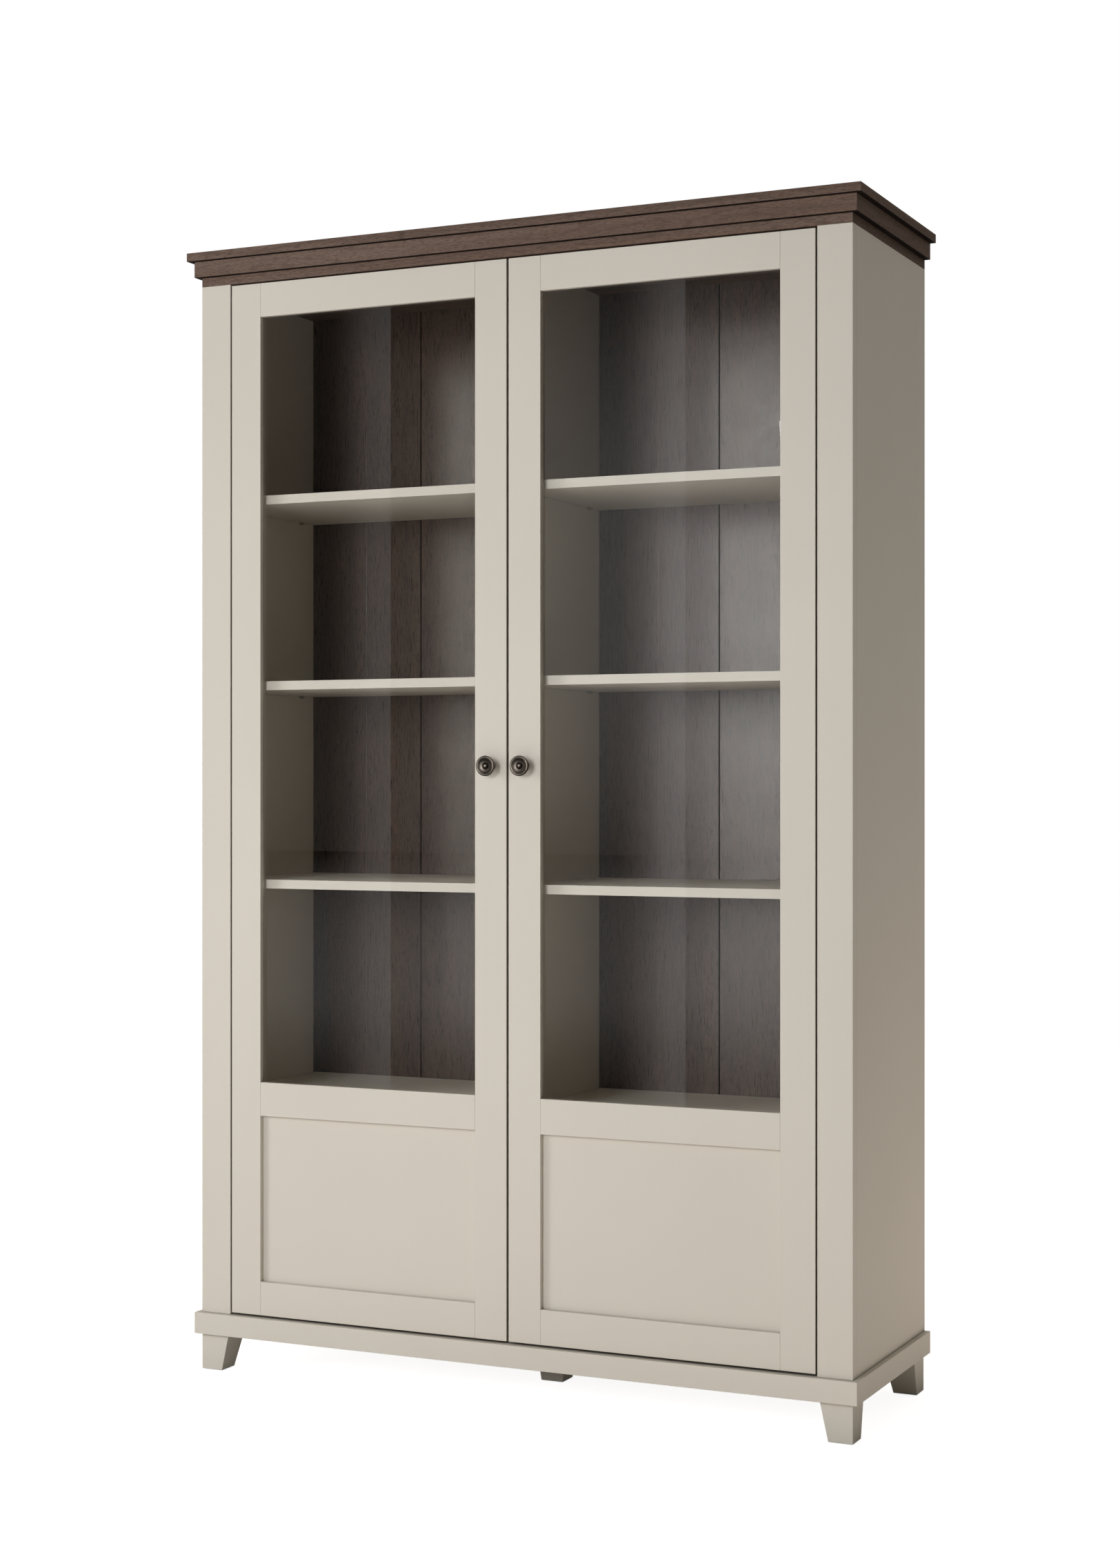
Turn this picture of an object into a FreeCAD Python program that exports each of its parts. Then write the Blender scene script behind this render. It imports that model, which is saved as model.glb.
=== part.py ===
"""Tall display cabinet with two framed glass doors, as a parametric FreeCAD document.

Millimetres. X runs along the width, from the cabinet's middle. Y runs from front to back, from the
carcass's middle depth. Z runs up from the floor. The origin is the point of the floor under the middle
of the cabinet, which is the underside of the centre foot's glide.
"""

import FreeCAD, Part
import os
import re
import Sketcher
from FreeCAD import Rotation, Vector

# Driving dimensions: alias, value, what it measures.
SIZES = [
    # carcass
    ("carcass_width", 1228, "outside width over the side panels"),
    ("carcass_depth", 400, "door face to rear edge"),
    ("board", 16, "side panels, partition, top and bottom panels"),
    ("pilaster_width", 60, "fixed front post outside each door"),
    ("pilaster_thickness", 18, "fixed front post, front to back"),
    # heights, from the floor up
    ("glide_thickness", 1.5, "plastic glide under each foot"),
    ("foot_height", 64.5, "foot without its glide"),
    ("plinth_height", 38, "plinth rails"),
    ("door_gap_bottom", 4, "plinth top to door"),
    ("door_height", 1842, "door, bottom edge to top edge"),
    ("door_gap_top", 3, "door to the top panel's underside"),
    ("frieze_thickness", 28, "frieze board over the top panel"),
    ("cornice_thickness", 15, "cornice board over the frieze"),
    # overhangs
    ("frieze_overhang", 10, "frieze past the carcass, front and sides"),
    ("cornice_overhang", 20, "cornice past the carcass, front and sides"),
    ("plinth_overhang", 10, "plinth past the carcass, front and sides"),
    ("plinth_rail_width", 60, "plinth rails, flat width"),
    # feet
    ("foot_top", 56, "side of a foot's square top"),
    ("foot_bottom", 42, "side of a foot's square underside"),
    ("rear_foot_inset", 6.5, "rear feet ahead of the carcass's rear edge"),
    ("glide_radius", 11, "glide"),
    ("bolt_radius", 4, "foot bolt"),
    ("bolt_in_foot", 40, "foot bolt, length inside the foot"),
    ("bolt_in_plinth", 30, "foot bolt, length inside the plinth"),
    ("bolt_fit", 0.1, "radial room round a foot bolt"),
    # doors
    ("door_thickness", 18, "stiles and rails"),
    ("door_gap_side", 3, "door to pilaster"),
    ("door_gap_middle", 4, "door to door"),
    ("stile_width", 60, "upright of the door frame"),
    ("rail_width", 60, "cross rail of the door frame"),
    ("panel_opening", 296, "height of the lower opening, between its rails"),
    ("front_lip", 9.5, "door face to the glass"),
    ("rebate_width", 9, "rebate for glass and panel, past the opening"),
    ("glass_thickness", 4, "float glass"),
    ("pane_play", 1, "room round the glass and the panel in their rebates"),
    ("bead_width", 8, "glazing bead"),
    ("lower_panel_thickness", 8, "solid panel"),
    # inside
    ("shelf_thickness", 16, "shelves"),
    ("fixed_shelf_top", 499.5, "fixed shelves, above the floor"),
    ("lower_shelf_top", 885, "lower loose shelves, above the floor"),
    ("middle_shelf_top", 1240.5, "middle loose shelves, above the floor"),
    ("upper_shelf_top", 1573.5, "upper loose shelves, above the floor"),
    ("shelf_setback", 6.2, "inner boards behind the doors' backs"),
    ("shelf_play", 0.5, "loose shelf to the board at each end"),
    ("partition_setback", 1.5, "partition behind the doors' backs"),
    ("back_recess", 33, "back panel's face ahead of the rear edge"),
    ("back_thickness", 8, "grooved back panels"),
    ("back_groove", 6, "depth of the grooves that hold the back panels"),
    ("back_play", 0.3, "room round a back panel in its grooves"),
    ("plank_width", 118, "pitch of the V-grooves"),
    ("vee_width", 3, "V-groove across its mouth"),
    ("pin_radius", 2.5, "shelf pin"),
    ("pin_bore", 7, "depth of a shelf pin in its board"),
    ("pin_reach", 8, "length of a shelf pin under its shelf"),
    ("pin_inset", 50, "shelf pins from the shelf's front and rear edges"),
    ("pin_fit", 0.05, "radial room round a shelf pin"),
    ("dowel_radius", 4, "beech dowel"),
    ("dowel_in_face", 10, "dowel in the board it enters through the face"),
    ("dowel_in_edge", 20, "dowel in the board it enters through the edge"),
    ("dowel_fit", 0.05, "radial room round a dowel"),
    ("dowel_pitch", 120, "dowels from front to back"),
    ("bumper_radius", 2.8, "clear bumper on the partition's edge"),
    ("bumper_thickness", 1.2, "clear bumper"),
    ("bumper_inset", 60, "bumpers from the doors' top and bottom edges"),
    # concealed hinges
    ("hinge_end", 100, "end hinges from the door's top and bottom edges"),
    ("axis_inset", 12, "hinge axis from the door's hinge edge"),
    ("axis_depth", 8, "hinge axis behind the door face"),
    ("cup_radius", 17.5, "hinge cup outside"),
    ("cup_depth", 13.5, "hinge cup in the stile"),
    ("cup_edge", 4, "wood left between cup and door edge"),
    ("cup_wall", 1.2, "hinge cup wall"),
    ("cup_floor", 0.8, "hinge cup floor"),
    ("cup_fit", 0.1, "radial room round a hinge cup"),
    ("flange_reach", 2, "cup flange past the cup"),
    ("flange_thickness", 1, "cup flange"),
    ("wing_length", 60, "cup flange, over its two screw wings"),
    ("wing_width", 16, "cup flange, width of a screw wing"),
    ("hinge_pin_radius", 1.2, "hinge pin"),
    ("hinge_pin_fit", 0.05, "radial room round a hinge pin"),
    ("eye_radius", 2.4, "rolled eye of the hinge arm"),
    ("arm_width", 13, "hinge arm, along the axis"),
    ("arm_thickness", 1.8, "hinge arm"),
    ("arm_angle", 13, "degrees between the door's plane and the arm where it leaves the eye"),
    ("arm_reach", 18, "radius of the arm's bend about the axis"),
    ("plate_inset", 4, "mounting plate from the pilaster's inner edge"),
    ("plate_length", 36, "mounting plate, across the pilaster"),
    ("plate_wing", 50, "mounting plate, over its two screw wings"),
    ("plate_wing_width", 12, "mounting plate, width of a screw wing"),
    ("plate_wing_thickness", 2, "mounting plate, screw wing"),
    # knobs
    ("knob_centre", 1087, "knob, above the floor"),
    ("knob_radius", 17.5, "knob over its rolled rim"),
    ("knob_height", 24, "door face to the ball's top"),
    ("knob_foot", 9, "radius of the knob's foot"),
    ("foot_edge", 1.6, "upright edge of the knob's foot"),
    ("foot_sweep", 3.9, "height of the hollow curve from foot to neck"),
    ("foot_bend", 5, "radius of that hollow curve"),
    ("knob_neck", 6, "radius of the knob's neck"),
    ("neck_top", 10, "door face to where the neck starts to flare"),
    ("neck_flare", 9, "radius of the hollow flare behind the rim"),
    ("rim_radius", 2.6, "rolled rim, radius of its edge"),
    ("ball_stand", 1, "ball's top past the rim"),
    ("dish_bend", 4.5, "radius of the dish inside the rim, across its section"),
    ("ring_outer", 10.4, "raised ring, outer foot"),
    ("ring_inner", 7.2, "raised ring, inner foot"),
    ("ring_bend", 1.8, "radius of the raised ring's section"),
    ("ring_foot", 3, "raised ring's foot behind the ball's top"),
    ("recess_radius", 6.1, "recess round the ball"),
    ("recess_depth", 5.4, "recess floor behind the ball's top"),
    ("ball_radius", 3.8, "ball in the recess"),
    ("knob_bore", 12, "depth of the knob's screw hole"),
    ("screw_radius", 2, "knob screw"),
    ("screw_head_radius", 4.5, "knob screw's head"),
    ("screw_head", 2.6, "knob screw's head, thickness"),
    ("screw_grip", 11, "knob screw, length inside the knob"),
    ("screw_fit", 0.1, "radial room round the knob screw"),
]

HINGES = 4
DOWEL_ROWS = (-1, 0, 1)
SHELF_DOWEL_ROWS = (-1, 1)

doc = FreeCAD.newDocument("DisplayCabinet")
sheet = doc.addObject("Spreadsheet::Sheet", "Dims")
for row, (alias, number, meaning) in enumerate(SIZES, start=1):
    sheet.set(f"A{row}", meaning)
    sheet.set(f"B{row}", str(number))
    sheet.setAlias(f"B{row}", alias)
doc.recompute()

ALIASES = {alias for alias, _, _ in SIZES}
pieces = []


# ---- how expressions, solids and sketches are made -------------------------------------------------

def in_sheet(text):
    """The expression with every alias pointed at the sheet."""
    return re.sub(r"[a-z_]+", lambda found: f"Dims.{found[0]}" if found[0] in ALIASES else found[0], text)


def value(text):
    return float(sheet.evalExpression(in_sheet(text)))


def add(total, part):
    return f"({total}) + ({part})"


def less(total, part):
    return f"({total}) - ({part})"


def half(text):
    return f"({text}) / 2"


def opposite(text):
    return f"-({text})"


def around(centre, width):
    """The span of a width about a centre."""
    return less(centre, half(width)), add(centre, half(width))


def grown(span, room):
    """The span with room added at both ends."""
    return less(span[0], room), add(span[1], room)


def move(solid, x, y, z):
    for axis, text in zip("xyz", (x, y, z)):
        solid.setExpression(f"Placement.Base.{axis}", in_sheet(text))
    return solid


def keep(solid, label):
    """Registers a finished sub-part under its own name."""
    solid.Label = label
    pieces.append(solid)
    return solid


def box(name, x, y, z):
    """A box over three spans, each a pair of expressions (low, high)."""
    solid = doc.addObject("Part::Box", name)
    for side, (low, high) in zip(("Length", "Width", "Height"), (x, y, z)):
        solid.setExpression(side, in_sheet(less(high, low)))
    return move(solid, x[0], y[0], z[0])


TURNS = {"x": Rotation(Vector(0, 1, 0), 90), "y": Rotation(Vector(1, 0, 0), -90), "z": Rotation()}


def rod(name, radius, axis, span, x="0", y="0", z="0"):
    """A cylinder along an axis over a span; the other two coordinates place it."""
    solid = doc.addObject("Part::Cylinder", name)
    solid.setExpression("Radius", in_sheet(radius))
    solid.setExpression("Height", in_sheet(less(span[1], span[0])))
    solid.Placement = FreeCAD.Placement(Vector(), TURNS[axis])
    centre = {"x": x, "y": y, "z": z}
    centre[axis] = span[0]
    return move(solid, **centre)


def group(name, solids):
    compound = doc.addObject("Part::Compound", name)
    compound.Links = solids
    return compound


def cut(name, base, tool):
    piece = doc.addObject("Part::Cut", name)
    piece.Base = base
    piece.Tool = tool
    return piece


def fuse(name, solids):
    piece = doc.addObject("Part::MultiFuse", name)
    piece.Shapes = solids
    piece.Refine = True
    return piece


def mirrored(name, source):
    """The right-hand twin of a left-hand piece."""
    twin = doc.addObject("Part::Mirroring", name)
    twin.Source = source
    twin.Normal = Vector(1, 0, 0)
    twin.Base = Vector()
    return twin


def pair(name, source):
    """Keeps a left-hand piece and its right-hand twin."""
    keep(source, f"left_{name}")
    keep(mirrored(f"right_{name}_twin", source), f"right_{name}")


def sketch_on(body, name, role, height="0"):
    sketch = body.newObject("Sketcher::SketchObject", name)
    plane = next(feature for feature in body.Origin.OriginFeatures if feature.Role == role)
    sketch.AttachmentSupport = [(plane, "")]
    sketch.MapMode = "FlatFace"
    sketch.setExpression("AttachmentOffset.Base.z", in_sheet(height))
    return sketch


def bend(start, end, radius):
    """An arc from start to end, turning left for a positive radius and right for a negative one."""
    chord = end - start
    side = Vector(chord.y, -chord.x, 0).normalize() * (1 if radius > 0 else -1)
    rise = abs(radius) - (radius * radius - chord.Length ** 2 / 4) ** 0.5
    return Part.Arc(start, (start + end) / 2 + side * rise, end)


def outline(sketch, corners):
    """A closed outline, fully constrained.

    A corner is (x, y) or (x, y, radius), each an expression; a radius bends the side that leaves the
    corner, outwards from a left-hand turn when it is positive.
    """
    points = [Vector(value(corner[0]), value(corner[1]), 0) for corner in corners]
    ends = []
    for index, corner in enumerate(corners):
        start, end = points[index], points[(index + 1) % len(points)]
        if len(corner) == 3:
            side = sketch.addGeometry(bend(start, end, value(corner[2])))
        else:
            side = sketch.addGeometry(Part.LineSegment(start, end))
        forward = (sketch.getPoint(side, 1) - start).Length < (sketch.getPoint(side, 2) - start).Length
        ends.append((side, 1, 2) if forward else (side, 2, 1))
    for index, (side, first, last) in enumerate(ends):
        after, after_first, _ = ends[(index + 1) % len(ends)]
        sketch.addConstraint(Sketcher.Constraint("Coincident", side, last, after, after_first))
    for corner, point, (side, first, _) in zip(corners, points, ends):
        for kind, text, number in (("DistanceX", corner[0], point.x), ("DistanceY", corner[1], point.y)):
            index = sketch.addConstraint(Sketcher.Constraint(kind, -1, 1, side, first, number))
            sketch.setExpression(f"Constraints[{index}]", in_sheet(text))
        if len(corner) == 3:
            radius = abs(value(corner[2]))
            index = sketch.addConstraint(Sketcher.Constraint("Radius", side, radius))
            sketch.setExpression(f"Constraints[{index}]", in_sheet(f"abs({corner[2]})"))
    return sketch


def rectangle(sketch, x, y):
    return outline(sketch, [(x[0], y[0]), (x[1], y[0]), (x[1], y[1]), (x[0], y[1])])


# ---- planes that the pieces share ------------------------------------------------------------------

side_face = half("carcass_width")
side_inner = less(side_face, "board")
front = opposite(half("carcass_depth"))
rear = half("carcass_depth")
pilaster_back = add(front, "pilaster_thickness")
door_back = add(front, "door_thickness")
inner_front = add(door_back, "shelf_setback")
partition_front = add(door_back, "partition_setback")
partition_face = half("board")
back_face = less(rear, "back_recess")
back_rear = add(back_face, "back_thickness")

foot_base = "glide_thickness"
plinth_base = add(foot_base, "foot_height")
plinth_top = add(plinth_base, "plinth_height")
bottom_top = add(plinth_top, "board")
door_base = add(plinth_top, "door_gap_bottom")
door_top = add(door_base, "door_height")
ceiling = add(door_top, "door_gap_top")
top_top = add(ceiling, "board")
frieze_top = add(top_top, "frieze_thickness")
cornice_top = add(frieze_top, "cornice_thickness")
lower_rail_top = add(door_base, "rail_width")
mid_rail_base = add(lower_rail_top, "panel_opening")
mid_rail_top = add(mid_rail_base, "rail_width")
top_rail_base = less(door_top, "rail_width")

# The left-hand bay and door; the right-hand ones are their mirror images.
bay = (opposite(side_inner), opposite(partition_face))
door = (add(opposite(side_face), add("pilaster_width", "door_gap_side")), opposite(half("door_gap_middle")))
opening = (add(door[0], "stile_width"), less(door[1], "stile_width"))
shelf_depth = (inner_front, less(back_face, "back_play"))

SHELVES = {
    "upper": "upper_shelf_top",
    "middle": "middle_shelf_top",
    "lower": "lower_shelf_top",
}


# ---- what joins the carcass boards -----------------------------------------------------------------

def dowel_row(name, axis, span, rows, grow, x="0", z="0"):
    """Dowels side by side from front to back; grow makes their bores instead."""
    radius = add("dowel_radius", "dowel_fit") if grow else "dowel_radius"
    reach = grown(span, "dowel_fit") if grow else span
    return [
        rod(f"{name}_{index}", radius, axis, reach, x=x, y=f"{row} * dowel_pitch", z=z)
        for index, row in enumerate(rows)
    ]


def dowels(name, grow):
    """Every dowel of the carcass: top, bottom and fixed shelves to the uprights."""
    solids = []
    into_top = (less(ceiling, "dowel_in_edge"), add(ceiling, "dowel_in_face"))
    out_of_bottom = (less(bottom_top, "dowel_in_face"), add(bottom_top, "dowel_in_edge"))
    bottom_middle = add(plinth_top, half("board"))
    shelf_middle = less("fixed_shelf_top", half("shelf_thickness"))
    left_edge = (less(bay[0], "dowel_in_face"), add(bay[0], "dowel_in_edge"))
    right_edge = (opposite(left_edge[1]), opposite(left_edge[0]))
    through = (less(bay[1], "dowel_in_edge"), opposite(less(bay[1], "dowel_in_edge")))
    upright = less(side_face, half("board"))
    for place, x in (("left", opposite(upright)), ("middle", "0"), ("right", upright)):
        solids += dowel_row(f"{name}_top_{place}", "z", into_top, DOWEL_ROWS, grow, x=x)
    solids += dowel_row(f"{name}_partition_foot", "z", out_of_bottom, DOWEL_ROWS, grow)
    for place, span in (("left", left_edge), ("right", right_edge)):
        solids += dowel_row(f"{name}_bottom_{place}", "x", span, DOWEL_ROWS, grow, z=bottom_middle)
        solids += dowel_row(f"{name}_shelf_{place}", "x", span, SHELF_DOWEL_ROWS, grow, z=shelf_middle)
    solids += dowel_row(f"{name}_shelf_middle", "x", through, SHELF_DOWEL_ROWS, grow, z=shelf_middle)
    return group(name, solids)


def shelf_pins(name, grow):
    """Two pins at each end of each loose shelf, just under it; grow makes their bores instead."""
    radius = add("pin_radius", "pin_fit") if grow else "pin_radius"
    solids = []
    left_end = (less(bay[0], "pin_bore"), add(bay[0], "pin_reach"))
    right_end = (less(bay[1], "pin_reach"), add(bay[1], "pin_bore"))
    spots = {"front": add(shelf_depth[0], "pin_inset"), "rear": less(shelf_depth[1], "pin_inset")}
    for level, top in SHELVES.items():
        z = less(less(top, "shelf_thickness"), "pin_radius")
        for end, span in (("outer", left_end), ("inner", right_end)):
            reach = grown(span, "pin_fit") if grow else span
            for spot, y in spots.items():
                solids.append(rod(f"{name}_{level}_{end}_{spot}", radius, "x", reach, y=y, z=z))
    left = group(f"{name}_left", solids)
    return group(name, [left, mirrored(f"{name}_right", left)])


def back_seats():
    """The space of both back panels in their grooves."""
    span = grown(bay, "back_groove")
    height = grown((bottom_top, ceiling), "back_groove")
    left = box("back_seat_left", span, (back_face, add(back_rear, "back_play")), height)
    return [left, mirrored("back_seat_right", left)]


# ---- carcass ---------------------------------------------------------------------------------------

def carcass():
    """The boxes and grooves of the case; one set of tools machines every board."""
    machining = group("machining", [dowels("dowel_bores", True), shelf_pins("pin_bores", True)] + back_seats())
    uprights = (plinth_top, ceiling)
    full_width = (opposite(side_face), side_face)
    full_depth = (front, rear)

    side = box("side_board", (opposite(side_face), bay[0]), (pilaster_back, rear), uprights)
    pair("side_panel", cut("side_machined", side, machining))
    post = (opposite(side_face), add(opposite(side_face), "pilaster_width"))
    pair("pilaster", box("pilaster_board", post, (front, pilaster_back), uprights))

    partition = box("partition_board", (bay[1], opposite(bay[1])), (partition_front, rear), (bottom_top, ceiling))
    keep(cut("partition_machined", partition, machining), "centre_partition")
    top = box("top_board", full_width, full_depth, (ceiling, top_top))
    keep(cut("top_machined", top, machining), "top_panel")
    bottom = box("bottom_board", (bay[0], opposite(bay[0])), (inner_front, rear), (plinth_top, bottom_top))
    keep(cut("bottom_machined", bottom, machining), "bottom_panel")

    shelf_span = (less("fixed_shelf_top", "shelf_thickness"), "fixed_shelf_top")
    fixed = box("fixed_shelf_board", bay, shelf_depth, shelf_span)
    pair("fixed_shelf", cut("fixed_shelf_machined", fixed, machining))
    keep(dowels("dowels", False), "carcass_dowels")
    keep(shelf_pins("pins", False), "shelf_pins")


def loose_shelves():
    ends = (add(bay[0], "shelf_play"), less(bay[1], "shelf_play"))
    for level, top in SHELVES.items():
        span = (less(top, "shelf_thickness"), top)
        pair(f"{level}_shelf", box(f"{level}_shelf_board", ends, shelf_depth, span))


def back_panels():
    """A grooved panel behind each bay, in the boards' grooves; the V-grooves are centred on the bay."""
    span = grown(bay, less("back_groove", "back_play"))
    height = grown((bottom_top, ceiling), less("back_groove", "back_play"))
    board = box("back_board", span, (back_face, back_rear), height)
    middle = half(add(bay[0], bay[1]))
    grooves = []
    for index, offset in enumerate((-1.5, -0.5, 0.5, 1.5)):
        groove = doc.addObject("Part::Prism", f"vee_{index}")
        groove.Polygon = 4
        groove.setExpression("Circumradius", in_sheet(half("vee_width")))
        groove.setExpression("Height", in_sheet(less(height[1], height[0])))
        move(groove, add(middle, f"{offset} * plank_width"), back_face, height[0])
        grooves.append(groove)
    pair("back_panel", cut("back_grooved", board, group("vees", grooves)))


def cornice():
    """The frieze board over the top panel and the cornice board over that, flush at the rear."""
    for name, overhang, low, high in (
        ("frieze_board", "frieze_overhang", top_top, frieze_top),
        ("cornice_board", "cornice_overhang", frieze_top, cornice_top),
    ):
        reach = add(side_face, overhang)
        keep(box(name, (opposite(reach), reach), (less(front, overhang), rear), (low, high)), name)


# ---- plinth and feet -------------------------------------------------------------------------------

def foot_spots():
    """Where each foot stands: the spans of its top and of its underside."""
    outer = opposite(side_face)
    behind = less(rear, "rear_foot_inset")
    spots = {}
    for size in ("foot_top", "foot_bottom"):
        left, right = (outer, add(outer, size)), (less(side_face, size), side_face)
        near, far = (front, add(front, size)), (less(behind, size), behind)
        spots[size] = {
            "front_left_foot": (left, near),
            "front_right_foot": (right, near),
            "rear_left_foot": (left, far),
            "rear_right_foot": (right, far),
            "centre_foot": (around("0", size), around("0", size)),
        }
    return spots


def middle_of(span):
    return half(add(span[0], span[1]))


def feet(bolt_bores, glides, bolts):
    """Square tapered feet; the corner ones are plumb on their outer faces."""
    spots = foot_spots()
    for name, underside in spots["foot_bottom"].items():
        body = doc.addObject("PartDesign::Body", f"{name}_body")
        low = rectangle(sketch_on(body, f"{name}_low", "XY_Plane"), *underside)
        high = rectangle(sketch_on(body, f"{name}_high", "XY_Plane", "foot_height"), *spots["foot_top"][name])
        taper = body.newObject("PartDesign::AdditiveLoft", f"{name}_taper")
        taper.Profile = low
        taper.Sections = [high]
        taper.Ruled = True
        move(body, "0", "0", foot_base)
        keep(cut(f"{name}_bored", body, bolt_bores), name)

        x, y = middle_of(underside[0]), middle_of(underside[1])
        glides.append(rod(f"{name}_glide", "glide_radius", "z", ("0", foot_base), x=x, y=y))
        reach = (less(plinth_base, "bolt_in_foot"), add(plinth_base, "bolt_in_plinth"))
        bolts.append(rod(f"{name}_bolt", "bolt_radius", "z", reach, x=x, y=y))


def foot_bolt_bores():
    solids = []
    reach = (less(plinth_base, "bolt_in_foot"), add(plinth_base, "bolt_in_plinth"))
    for name, (x, y) in foot_spots()["foot_bottom"].items():
        radius = add("bolt_radius", "bolt_fit")
        solids.append(rod(f"{name}_bore", radius, "z", reach, x=middle_of(x), y=middle_of(y)))
    return group("foot_bolt_bores", solids)


def plinth(bolt_bores):
    """A flat frame of rails under the case, with a cross rail over the centre foot."""
    reach = add(side_face, "plinth_overhang")
    height = (plinth_base, plinth_top)
    full = (opposite(reach), reach)
    near = (less(front, "plinth_overhang"), add(less(front, "plinth_overhang"), "plinth_rail_width"))
    far = (less(rear, "plinth_rail_width"), rear)
    between = (near[1], far[0])
    left = (opposite(reach), add(opposite(reach), "plinth_rail_width"))
    rails = {
        "plinth_front_rail": (full, near),
        "plinth_back_rail": (full, far),
        "plinth_left_rail": (left, between),
        "plinth_right_rail": ((opposite(left[1]), reach), between),
        "plinth_centre_rail": (around("0", "plinth_rail_width"), between),
    }
    for name, (x, y) in rails.items():
        keep(cut(f"{name}_bored", box(f"{name}_bar", x, y, height), bolt_bores), name)


def base():
    bolt_bores = foot_bolt_bores()
    glides, bolts = [], []
    plinth(bolt_bores)
    feet(bolt_bores, glides, bolts)
    keep(group("glides", glides), "foot_glides")
    keep(group("bolts", bolts), "foot_bolts")


# ---- hinges ----------------------------------------------------------------------------------------

axis_x = add(door[0], "axis_inset")
axis_y = add(front, "axis_depth")
cup_x = add(door[0], add("cup_edge", "cup_radius"))
hinge_pitch = f"(door_height - 2 * hinge_end) / {HINGES - 1}"


def hinge_height(index):
    return add(add(door_base, "hinge_end"), f"{index} * {hinge_pitch}")


def hinge_arm(index):
    """A goose-neck strap: an eye on the pin, a neck that bends round the door's edge, a straight arm."""
    name, middle = f"arm_{index}", hinge_height(index)
    span = around(middle, "arm_width")
    eye = rod(f"{name}_eye", "eye_radius", "z", span, x=axis_x, y=axis_y)

    neck = doc.addObject("Part::Box", f"{name}_neck")
    neck.setExpression("Length", in_sheet("arm_reach"))
    neck.setExpression("Width", in_sheet("arm_thickness"))
    neck.setExpression("Height", in_sheet("arm_width"))
    neck.Placement.Rotation = Rotation(Vector(0, 0, 1), value("arm_angle"))
    neck.setExpression("Placement.Rotation.Angle", in_sheet("arm_angle"))
    sideways = half("arm_thickness")
    move(neck, add(axis_x, f"{sideways} * sin(arm_angle)"), less(axis_y, f"{sideways} * cos(arm_angle)"), span[0])

    shells = []
    for shell, room in (("outer", sideways), ("inner", opposite(sideways))):
        quarter = rod(f"{name}_{shell}", add("arm_reach", room), "z", span, x=axis_x, y=axis_y)
        quarter.setExpression("Angle", in_sheet("90 - arm_angle"))
        quarter.Placement.Rotation = Rotation(Vector(0, 0, 1), value("arm_angle"))
        quarter.setExpression("Placement.Rotation.Angle", in_sheet("arm_angle"))
        shells.append(quarter)
    curve = cut(f"{name}_curve", *shells)

    straight = around(add(axis_y, "arm_reach"), "arm_thickness")
    strap = box(f"{name}_strap", (plate_span()[0], axis_x), straight, span)
    solid = fuse(f"{name}_solid", [eye, neck, curve, strap])
    hole = rod(f"{name}_hole", add("hinge_pin_radius", "hinge_pin_fit"), "z", span, x=axis_x, y=axis_y)
    return cut(name, solid, hole)


def plate_span():
    """The mounting plate across the pilaster's back, from its outer end to its inner one."""
    inner_end = less(add(opposite(side_face), "pilaster_width"), "plate_inset")
    return less(inner_end, "plate_length"), inner_end


def hinge_plate(index):
    """A cross-shaped plate on the pilaster's back, as high as the arm's underside."""
    name, middle = f"plate_{index}", hinge_height(index)
    arm_side = less(add(axis_y, "arm_reach"), half("arm_thickness"))
    wing = (pilaster_back, add(pilaster_back, "plate_wing_thickness"))
    across = around(middle_of(plate_span()), "plate_wing_width")
    block = box(f"{name}_block", plate_span(), (pilaster_back, arm_side), around(middle, "arm_width"))
    wings = box(f"{name}_wings", across, wing, around(middle, "plate_wing"))
    return fuse(name, [block, wings])


def cup_bore(index):
    """The round pocket for one cup in the back of the hinge stile."""
    span = (less(door_back, "cup_depth"), door_back)
    radius = add("cup_radius", "cup_fit")
    return rod(f"cup_bore_{index}", radius, "y", span, x=cup_x, z=hinge_height(index))


def hinge_cup(index):
    """A thin round cup in the stile, with a flange and two screw wings on the door's back."""
    name, middle = f"cup_{index}", hinge_height(index)
    cup_base = less(door_back, "cup_depth")
    flange = (door_back, add(door_back, "flange_thickness"))
    across = around(cup_x, "wing_width")
    solid = fuse(f"{name}_solid", [
        rod(f"{name}_pot", "cup_radius", "y", (cup_base, flange[1]), x=cup_x, z=middle),
        rod(f"{name}_rim", add("cup_radius", "flange_reach"), "y", flange, x=cup_x, z=middle),
        box(f"{name}_wings", across, flange, around(middle, "wing_length")),
    ])
    inside = rod(
        f"{name}_inside", less("cup_radius", "cup_wall"), "y",
        (add(cup_base, "cup_floor"), flange[1]), x=cup_x, z=middle,
    )
    pin_hole = rod(
        f"{name}_pin_hole", add("hinge_pin_radius", "hinge_pin_fit"), "z",
        around(middle, "2 * cup_radius"), x=axis_x, y=axis_y,
    )
    return cut(name, solid, group(f"{name}_hollow", [inside, pin_hole]))


def hinge_pin(index):
    """A pin across the cup, its ends in the cup's wall."""
    off_centre = less(axis_x, cup_x)
    reach = f"sqrt((cup_radius - cup_wall / 2) ^ 2 - ({off_centre}) ^ 2)"
    span = around(hinge_height(index), f"2 * {reach}")
    return rod(f"hinge_pin_{index}", "hinge_pin_radius", "z", span, x=axis_x, y=axis_y)


def hinges():
    places = range(HINGES)
    pair("hinge_cups", group("cups", [hinge_cup(index) for index in places]))
    pair("hinge_pins", group("hinge_pins_left", [hinge_pin(index) for index in places]))
    for name, make in (("hinge_arms", hinge_arm), ("hinge_plates", hinge_plate)):
        left = group(f"{name}_left", [make(index) for index in places])
        keep(group(f"{name}_both", [left, mirrored(f"{name}_right", left)]), name)


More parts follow.
